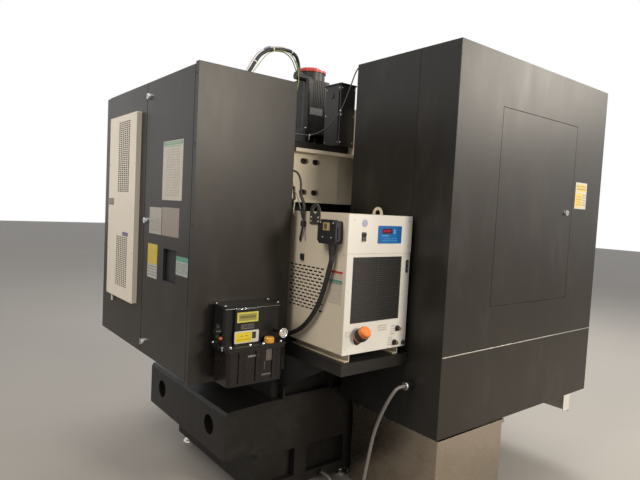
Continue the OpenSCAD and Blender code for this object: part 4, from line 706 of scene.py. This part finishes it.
chillerBack = grid((-0.945, -0.560), chillerRear, (0.925, 1.215, 1.335, 1.49))
chillerBack += [(-0.785, chillerRear, 1.012), (-0.858, chillerRear, 1.040)]
screws("chillerRearScrews", "machine", "rear", chillerBack, 0.0034, 0.0016)
screws("lugScrews", "machine", "rear", grid((-0.759, -0.707), 0.709, (1.468, 1.486)), 0.0055, 0.004)
net = {"x": -0.9644, "y": (0.3655, 0.6675), "z": np.linspace(1.0352, 1.3236, 60), "thick": (0.0008, 0.0007)}
deep, high = net["thick"]
ribs = [bar((net["x"], net["y"][0], z), (net["x"] + deep, net["y"][1], z + high), 0.0002) for z in net["z"]]
piece("filterNet", joined(*ribs), "machine", finishes["black_plastic"])
cloth = bar((-0.9605, 0.360, 1.030), (-0.9585, 0.673, 1.329), 0.0003)
piece("filterCloth", cloth, "machine", finishes["rubber"])
knuckles = spread(disc(0.0048, 0.019, 14), grid(-0.9712, 0.330, (1.2485, 1.2695, 1.2905)), "top")
piece("filterHinge", joined(bar((-0.9712, 0.332, 1.249), (-0.9698, 0.341, 1.308)), knuckles), "machine",
      finishes["rubber"])
rocker = [bar((-0.9674, y0, z0), (-0.9664, y1, z1)) for y0, y1, z0, z1 in (
    (0.6008, 0.6032, 1.3940, 1.4340), (0.6248, 0.6272, 1.3940, 1.4340),
    (0.6008, 0.6272, 1.4325, 1.4350), (0.6008, 0.6272, 1.3930, 1.3955))]
piece("rockerFrame", joined(*rocker), "machine", finishes["black_plastic"])

# Chiller ports: brass ends in the black fittings, and a small black cap on the rear wall
portEnd = turned([(0, 0), (0.0062, 0), (0.0062, 0.004), (0.0045, 0.0045), (0.004, 0.002), (0, 0.002)], 18)
brass = metal("brass", (0.42, 0.29, 0.11), 0.3, (3, 3, 3), 0.00001)
ports = [(-0.9855, 0.370, 0.988), (-0.9855, 0.385, 0.923)]
piece("portEnds", spread(portEnd, ports, "left"), "machine", brass)
capBody = slab(0.024, 0.030, 0.003, [(0, 0), (0, 0.007), (0.003, 0.010)])
capTop = pad(0.014, 0.018, 0.0006, 0.002, 0.0002)
cap = joined(placed(capBody, (-0.651, chillerRear, 1.297), "rear"),
             placed(capTop, (-0.648, 0.714, 1.300), "rear"))
piece("rearCap", cap, "machine", recess)

# Filler neck: a ribbed collar, and the strap and disc of its cap
neck = {"foot": (chillerFace, 0.619, 0.965), "lean": -50}  # degrees about Y
leaning = np.array(Matrix.Rotation(math.radians(neck["lean"]), 3, "Y"))


def onNeck(shape):
    return shape[0] @ leaning.T + np.array(neck["foot"]), shape[1]


collar = [turned([(0.0285, h), (0.0298, h + 0.0006), (0.0298, h + 0.0018), (0.0285, h + 0.0024)], 48)
          for h in (0.026, 0.0315, 0.037, 0.0425)]
piece("neckRibs", onNeck(joined(*collar)), "machine", recess)
neckParts = {  # body, profile
    "neckStrap": ("machine", [(0.0222, 0.008), (0.0245, 0.008), (0.0245, 0.012), (0.0222, 0.012)]),
    "capDisc": ("chiller_cap", [(0, 0.072), (0.018, 0.072), (0.0175, 0.0734), (0.012, 0.0738),
                                (0.0115, 0.0729), (0, 0.0729)]),
}
for name, (body, profile) in neckParts.items():
    piece(name, onNeck(turned(profile, 40)), body, finishes["orange_plastic"])

# Connector: screws, a lever on each side and the folds of the strain relief
plugCorners = grid((-0.905, -0.848), plugFace, 1.405) + grid((-0.828, -0.915), plugFace, 1.468)
screws("plugScrews", "machine", "rear", plugCorners, 0.0038, 0.0018)
levers = [bar((x, 0.722, 1.398), (x + 0.004, 0.738, 1.452)) for x in (-0.9385, -0.8095)]
piece("plugLever", joined(*levers), "machine", recess)
fold = [(-0.001, 0), (0.0012, 0.001), (0.0012, 0.003), (-0.001, 0.004)]
folds = [turned([(r + a, h + b) for a, b in fold], 28) for h, r in (
    (0.004, 0.0125), (0.012, 0.0133), (0.020, 0.0141), (0.028, 0.0149), (0.036, 0.0157))]
piece("plugRings", placed(joined(*folds), (-0.891, 0.728, 1.328), "top"), "machine", recess)

# Lubricator: yellow setting panel in a pale frame, flange screws, dial, lamp, plate and latch
lubePrint = printed("lubePanelPrint", (0.70, 0.68, 0.62), [
    (0.03, 0.08, 0.70, 0.88, (0.80, 0.62, 0.03)), (0.72, 0.3, 0.88, 0.86, (0.03, 0.02, 0.02)),
    (0.25, 0.55, 0.32, 0.62, (0.25, 0.20, 0.02)), (0.45, 0.55, 0.52, 0.62, (0.25, 0.20, 0.02)),
], [(0.08, 0.18, 0.66, 0.40, 1, (0.45, 0.34, 0.02))])
sticker("lubePanel", "machine", "left", (-0.7185, 1.034, 0.966), 0.118, 0.052, lubePrint, "gloss_black",
        0.003, 0.004)
flange = grid(-0.742, (0.872, 0.962, 1.028, 1.122), 0.932) + grid(-0.625, (0.8535, 1.1425), 0.932)
screws("flangeScrews", "machine", "top", flange, 0.0062, 0.006, "chrome")
dialPrint = printed("dialPrint", (0.66, 0.64, 0.58), [
    (0.47, 0.45, 0.53, 0.86, (0.02, 0.02, 0.02)), (0.44, 0.44, 0.56, 0.56, (0.03, 0.03, 0.03)),
    (0.30, 0.24, 0.70, 0.30, (0.40, 0.12, 0.08)),
], [(0.2, 0.62, 0.8, 0.9, 2, (0.25, 0.25, 0.24))])
dial = {"face": -0.7702, "rim": -0.773, "y": 0.880, "z": 0.977, "width": 0.033}
sticker("dialFace", "machine", "left", (dial["face"], dial["y"], dial["z"]), dial["width"], dial["width"],
        dialPrint, "gloss_black", 0.0006, 0.0162)
dialRim = turned([(0.0168, -0.004), (0.0215, -0.004), (0.0218, 0.0006), (0.0205, 0.0024), (0.0180, 0.0020),
                  (0.0168, 0.0)], 48)
piece("dialRim", placed(dialRim, (dial["rim"], dial["y"], dial["z"]), "left"), "machine",
      finishes["chrome"])
# thin chrome strips along the glossy black housing's top edges: painted highlights
lubeEdgeHighlights = [bar((-0.7102, 0.8605, 1.0868), (-0.7088, 1.1355, 1.0884)),
        bar((-0.7184, 0.9700, 1.0846), (-0.7172, 1.0880, 1.0858))]
piece("lubeEdgeHighlight", joined(*lubeEdgeHighlights), "machine", finishes["chrome"])
lid = grid((-0.700, -0.620), (0.867, 1.129), 1.1)
screws("lidScrews", "machine", "top", lid, 0.005, 0.003, "chrome")
sidePrint = printed("lubeSidePrint", (0.045, 0.06, 0.05), [(0.1, 0.1, 0.9, 0.9, (0.06, 0.085, 0.07))],
                    [(0.15, 0.2, 0.85, 0.85, 5, (0.16, 0.20, 0.17))])
sticker("lubeSidePlate", "machine", "rear", (-0.655, pumpEnd, 0.985), 0.030, 0.062, sidePrint, "gloss_black",
        0.001)
lamp = turned([(0, 0), (0.008, 0), (0.008, 0.006), (0.0055, 0.010), (0, 0.0115)], 24)
piece("lubeLamp", placed(lamp, (-0.687, pumpEnd, 0.962), "rear"), "machine",
      plastic("lampOrange", (0.42, 0.10, 0.03), 0.25))
latch = [bar((-0.722, 1.1465, 0.924), (-0.690, 1.1500, 0.931)),
         bar((-0.726, 1.1465, 0.918), (-0.720, 1.1530, 0.936))]
piece("lubeLatch", joined(*latch), "machine", finishes["chrome"])

# Lubricator's tank: ribs, strainer and oil inside, shapes that show through its smoky wall
tankRibs = {"y": (0.892, 0.972, 1.058), "half": 0.0025, "x": (-0.7500, -0.7476), "z": (0.776, 0.906)}
for k, y in enumerate(tankRibs["y"]):
    (x0, x1), (z0, z1), half = tankRibs["x"], tankRibs["z"], tankRibs["half"]
    piece(f"tankRib_{k}", bar((x0, y - half, z0), (x1, y + half, z1)), "machine",
          finishes["smoke_plastic"])
strainer = joined(tube(0.0112, 0.0132, 0.055, 28), disc(0.0132, 0.0015, 28))
piece("tankStrainer", placed(strainer, (-0.728, 0.925, 0.852), "top"), "machine",
      plastic("strainerPale", (0.72, 0.66, 0.60), 0.4))
oil = Finish("wayOil", Roughness=0.12, Alpha=0.9)
oil.set("Base Color", oil.blend(oil.noise(30.0, 2), (0.030, 0.018, 0.008), (0.045, 0.028, 0.012)))
piece("tankOil", bar((-0.7438, 0.867, 0.7702), (-0.6225, 1.129, 0.812), 0.004), "machine",
      oil.material)
tankInk, slats = (0.022, 0.018, 0.017), (0.08, 0.25, 0.42, 0.59, 0.76)
onTank = {  # place, width, height, ground, fields, rows of strokes, thickness
    "tankCup": ((tankFace, 0.930, 0.885), 0.042, 0.058, (0.060, 0.052, 0.048),
        [(at, 0.06, at + 0.11, 0.94, (0.15, 0.13, 0.12)) for at in slats], [], 0.0003),
    "tankTube": ((tankFace, 0.956, 0.838), 0.005, 0.034, (0.085, 0.072, 0.064), [], [], 0.0003),
    "tankNote": ((tankFace, 0.948, 0.798), 0.056, 0.012, tankInk, [],
        [(0.05, 0.1, 0.95, 0.9, 1, (0.30, 0.27, 0.24))], 0.0003),
    "tankMarks": ((-0.7494, 1.015, 0.887), 0.056, 0.016, tankInk, [],
        [(0.05, 0.1, 0.95, 0.9, 1, (0.50, 0.46, 0.42))], 0.0004),
}
for name, (centre, width, height, ground, fields, rows, thick) in onTank.items():
    sticker(name, "machine", "left", centre, width, height, printed(name + "Print", ground, fields, rows),
            "smoke_plastic", thick)
print("lubricator")

# Z motor: flange bolts, screws of its terminal box, and thin wires that end on pieces
motorBolts = {"x": (-0.083, 0.083), "y": (0.142, 0.308)}
screws("motorBolts", "machine", "top", grid(motorBolts["x"], motorBolts["y"], 1.999), 0.006, 0.005)
mount = grid(-0.115, (0.150, 0.320), (1.893, 1.972))
screws("mountBolts", "machine", "left", mount, 0.006, 0.004, "zinc", finishes["motor_black"])
boxHeights = (1.90, 2.05, 2.195)
screws("boxScrews", "machine", "left", grid(boxFace, (0.200, 0.290), boxHeights), 0.004, 0.002)
screws("boxRearScrews", "machine", "rear", grid((-0.372, -0.262), boxRear, boxHeights), 0.004, 0.002)
jackets = {"white": plastic("jacketWhite", (0.62, 0.60, 0.54), 0.45),
           "earth": plastic("jacketEarth", (0.28, 0.36, 0.05), 0.45),
           "black": finishes["rubber"], "grey": plastic("jacketGrey", (0.34, 0.32, 0.29), 0.45)}
wires = {  # route in millimetres, diameter in metres, jacket
    "wireWhite": ([(-30, 309, 2318), (-30, 330, 2322), (-34, 352, 2345), (-50, 392, 2392), (-62, 452, 2434),
        (-74, 552, 2420), (-70, 600, 2402), (-66, 652, 2362), (-74, 706, 2282), (-84, 752, 2205),
        (-88, 792, 2150), (-88, 806, 2128), (-88, 812, 2108)], 0.005, "white"),
    "wireGrey": ([(-14, 310, 2312), (-14, 332, 2316), (-20, 356, 2345), (-40, 402, 2390), (-52, 470, 2412),
        (-60, 560, 2396), (-60, 610, 2368), (-62, 660, 2310), (-72, 712, 2240), (-84, 766, 2190),
        (-112, 802, 2160), (-118, 812, 2130), (-118, 816, 2108)], 0.006, "grey"),
    "wireEarth": ([(-100, 420, 1880), (-100, 420, 1900), (-100, 420, 1960), (-98, 416, 2060),
        (-97, 402, 2150), (-95, 384, 2240), (-94, 384, 2290), (-92, 402, 2360), (-94, 470, 2402),
        (-104, 560, 2388), (-106, 620, 2350), (-110, 680, 2272), (-116, 742, 2190), (-124, 780, 2150),
        (-126, 792, 2126), (-126, 794, 2108)], 0.0045, "earth"),
    "sensorWhite": ([(-562, 746, 1668), (-562, 736, 1668), (-562, 722, 1658), (-566, 715, 1625),
        (-577, 715, 1562), (-574, 716, 1520), (-571, 712, 1496), (-570, 704, 1488)], 0.007, "white"),
    "sensorBlack": ([(-586, 746, 1700), (-590, 734, 1699), (-604, 722, 1688), (-621, 715, 1650),
        (-627, 715, 1586), (-654, 716, 1545), (-657, 716, 1461), (-645, 715, 1410), (-632, 711, 1382),
        (-629, 704, 1369)], 0.010, "black"),
    "sensorGrey": ([(-574, 746, 1612), (-578, 734, 1610), (-600, 722, 1590), (-640, 716, 1500),
        (-662, 715, 1430), (-668, 711, 1385), (-668, 704, 1374)], 0.004, "grey"),
}
for name, (route, diameter, jacket) in wires.items():
    line = cordLine(route)
    cord = piece(name, hose(line, diameter / 2, 10), "machine", jackets[jacket], 60)
    print("wire", name, round(routeLength(line), 3))
sleeves = {  # shares of the wire's length, radius
    "sensorWhite": (0.30, 0.62, 0.0062), "sensorBlack": (0.34, 0.62, 0.0075),
    "sensorGrey": (0.45, 0.62, 0.0045), "wireWhite": (0.44, 0.50, 0.0055),
}
for name, (start, end, radius) in sleeves.items():
    line = cordLine(wires[name][0], 0.004)
    covered = line[int(len(line) * start):int(len(line) * end)]
    look = finishes["rubber"] if name != "wireWhite" else plastic("tagBlue", (0.22, 0.30, 0.42), 0.4)
    piece(name + "Sleeve", hose(covered, radius, 12), "machine", look, 60)
line = cordLine(wires["sensorBlack"][0], 0.004)
sensorPlug = hose(line[int(len(line) * 0.72):int(len(line) * 0.79)], 0.0125, 14)
piece("sensorPlug", sensorPlug, "machine", finishes["rubber"], 40)
ties = {"sensor_cable": (0.25, 0.61), "motor_cable": (0.2, 0.42, 0.66), "plug_cable": (0.86,)}
for name, places in ties.items():
    line = cordLine(routes[name], 0.004)
    radius = cordSizes[name][0] / 2 + 0.0012  # half the cord and the strap's thickness
    for k, share in enumerate(places):
        i = int(len(line) * share)
        tie = hose(line[i:i + 3], radius, 14)
        if name == "sensor_cable":  # with its tail hanging down
            x, y, z = line[i + 1]
            tail = bar((x - 0.002, y - 0.001, z - 0.026), (x + 0.002, y + 0.001, z - radius + 0.001))
            tie = joined(tie, tail)
        piece(f"{name}_tie_{k}", tie, "machine", jackets["white"], 30)

# Rail screws: dark plugs along the guides
plug = disc(0.0075, 0.0002, 18)
yPlugs = spread(plug, grid((-0.3, 0.3), np.arange(-0.99, 0.1, 0.09), 0.583), "top")
zPlugs = spread(plug, grid((-0.23, 0.23), 0.100, np.arange(0.915, 1.86, 0.09)), "front")
piece("railPlugs", joined(yPlugs, zPlugs), "machine", finishes["rubber"])

# Operator panel: display, keys, rings round its knobs and corner studs
panel = {"x": 0.640, "y": -1.255, "z": 1.050, "firstKey": (0.0785, 0.2025), "keyPitch": 0.031}


def onPanel(x, z, out=0.0):  # a point of the panel's face, from its lower left corner
    return panel["x"] + x, panel["y"] - out, panel["z"] + z


screenLook = printed("screenPrint", (0.010, 0.016, 0.022), [
    (0.02, 0.90, 0.98, 0.97, (0.03, 0.10, 0.16)), (0.04, 0.50, 0.60, 0.86, (0.012, 0.03, 0.045)),
    (0.64, 0.50, 0.96, 0.86, (0.014, 0.035, 0.04)), (0.02, 0.02, 0.98, 0.09, (0.05, 0.07, 0.09)),
], [
    (0.06, 0.54, 0.56, 0.84, 5, (0.10, 0.42, 0.36)), (0.67, 0.54, 0.93, 0.84, 6, (0.34, 0.36, 0.10)),
    (0.05, 0.14, 0.95, 0.44, 7, (0.12, 0.28, 0.36)), (0.05, 0.03, 0.95, 0.08, 1, (0.3, 0.35, 0.4)),
], 0.08)
sticker("screenGlass", "machine", "front", onPanel(0.215, 0.470, 0.001), 0.279, 0.209, screenLook,
        "gloss_black", 0.0008, 0.003)
keyColours = {"pale": plastic("keyPale", (0.48, 0.47, 0.44), 0.4),
              "dark": plastic("keyDark", (0.10, 0.10, 0.105), 0.4),
              "go": plastic("keyGreen", (0.05, 0.28, 0.09), 0.35),
              "halt": plastic("keyRed", (0.50, 0.04, 0.03), 0.35)}
keyRows = {"go": [(8, 0)], "halt": [(9, 0)],
           "dark": [(column, row) for column in range(10) for row in (0, 3) if column < 8 or row],
           "pale": [(column, row) for column in range(10) for row in (1, 2)]}
keyCap = slab(0.0236, 0.0236, 0.0028, [(0, 0), (0, 0.0016), (0.0012, 0.0028)])
keyMark = pad(0.010, 0.0022, 0.0002, 0.0005, 0.0001)
for tone, pick in keyRows.items():
    spots = [[a + panel["keyPitch"] * k for a, k in zip(panel["firstKey"], place)] for place in pick]
    caps = spread(keyCap, [onPanel(x, z, -0.0018) for x, z in spots], "front")
    piece("keys_" + tone, caps, "machine", keyColours[tone])
    marks = spread(keyMark, [onPanel(x, z + 0.003, 0.001) for x, z in spots], "front")
    markLook = keyColours["dark" if tone == "pale" else "pale"]
    piece("keyMarks_" + tone, marks, "machine", markLook)
scales = {  # place on the panel, radius, ground and mark colour
    "stopRing": (0.060, 0.080, 0.034, (0.78, 0.58, 0.03), (0.45, 0.05, 0.03)),
    "modeScale": (0.190, 0.090, 0.032, (0.30, 0.30, 0.29), (0.66, 0.65, 0.6)),
    "wheelScale": (0.340, 0.090, 0.050, (0.10, 0.10, 0.10), (0.66, 0.65, 0.6)),
}
for name, (x, z, radius, tint, markTint) in scales.items():
    look = Finish(name + "Print", Roughness=0.4)
    across, rise = look.axis("X") - (panel["x"] + x), look.axis("Z") - (panel["z"] + z)
    angle = look.node("ShaderNodeMath", {"operation": "ARCTAN2"}, {0: across, 1: rise}) * (24 / math.pi)
    away = (across * across + rise * rise).apply("SQRT") * (1 / radius)
    tick = (angle % 2.0 < 0.35) * (away > 0.86) * (away < 0.97)
    look.set("Base Color", look.blend(tick, look.blend(look.noise(60.0), scaled(tint, 0.9), tint), markTint))
    look.relief(look.noise(500.0, 2), 0.00003)
    ring = placed(tube(0.0098, radius, 0.0003, 64), onPanel(x, z, 0.00005), "front")
    piece(name, ring, "machine", look.material)
corners = [onPanel(x, z, 0.0002) for x in (0.02, 0.41) for z in (0.02, 0.62)]
piece("panelGrip", spread(disc(0.008, 0.003, 20), corners, "front"), "machine", finishes["zinc"])

# Front doors: bright grips, window seals and screws
gripSleeve = turned([(0.0112, 0), (0.0119, 0.001), (0.0119, 0.318), (0.0112, 0.319)], 28)
for sign, name in ((-1, "left"), (1, "right")):
    door = f"front_door_{name}"
    grip = placed(gripSleeve, (sign * 0.044, -1.238, 1.1655), "top")
    piece(f"grip_{name}", grip, door, finishes["ground_steel"])
    seal = fourBars(sorted((sign * 0.090, sign * 0.472)), (-1.1985, -1.1962), (1.120, 1.870), 0.006)
    piece(f"seal_{name}", seal, door, finishes["rubber"])
    corners = grid((sign * 0.03, sign * 0.545), -1.197, (0.88, 1.96))
    screws(f"doorScrews_{name}", door, "front", corners, 0.005, 0.002)
frontEdge = grid((-1.02, -0.7, 0.75, 1.15), frontFace, (0.34, 0.80, 2.165))
screws("frameScrews", "machine", "front", frontEdge, 0.005, 0.002)

# Right side wall: screws
wallEdge = grid(wallFace, (-1.16, -0.73, -0.30, 0.09), (0.34, 0.95, 1.57, 2.17))
screws("wallScrews", "machine", "right", wallEdge, 0.0045, 0.002, "charcoal_paint", own["guard_rear"])

# Coolant tank: a drain plug
screws("tankPlug", "machine", "left", [(faceOf("coolant_tank", "left") + 0.008, 0.12, 0.05)], 0.016, 0.010)
print("small parts")
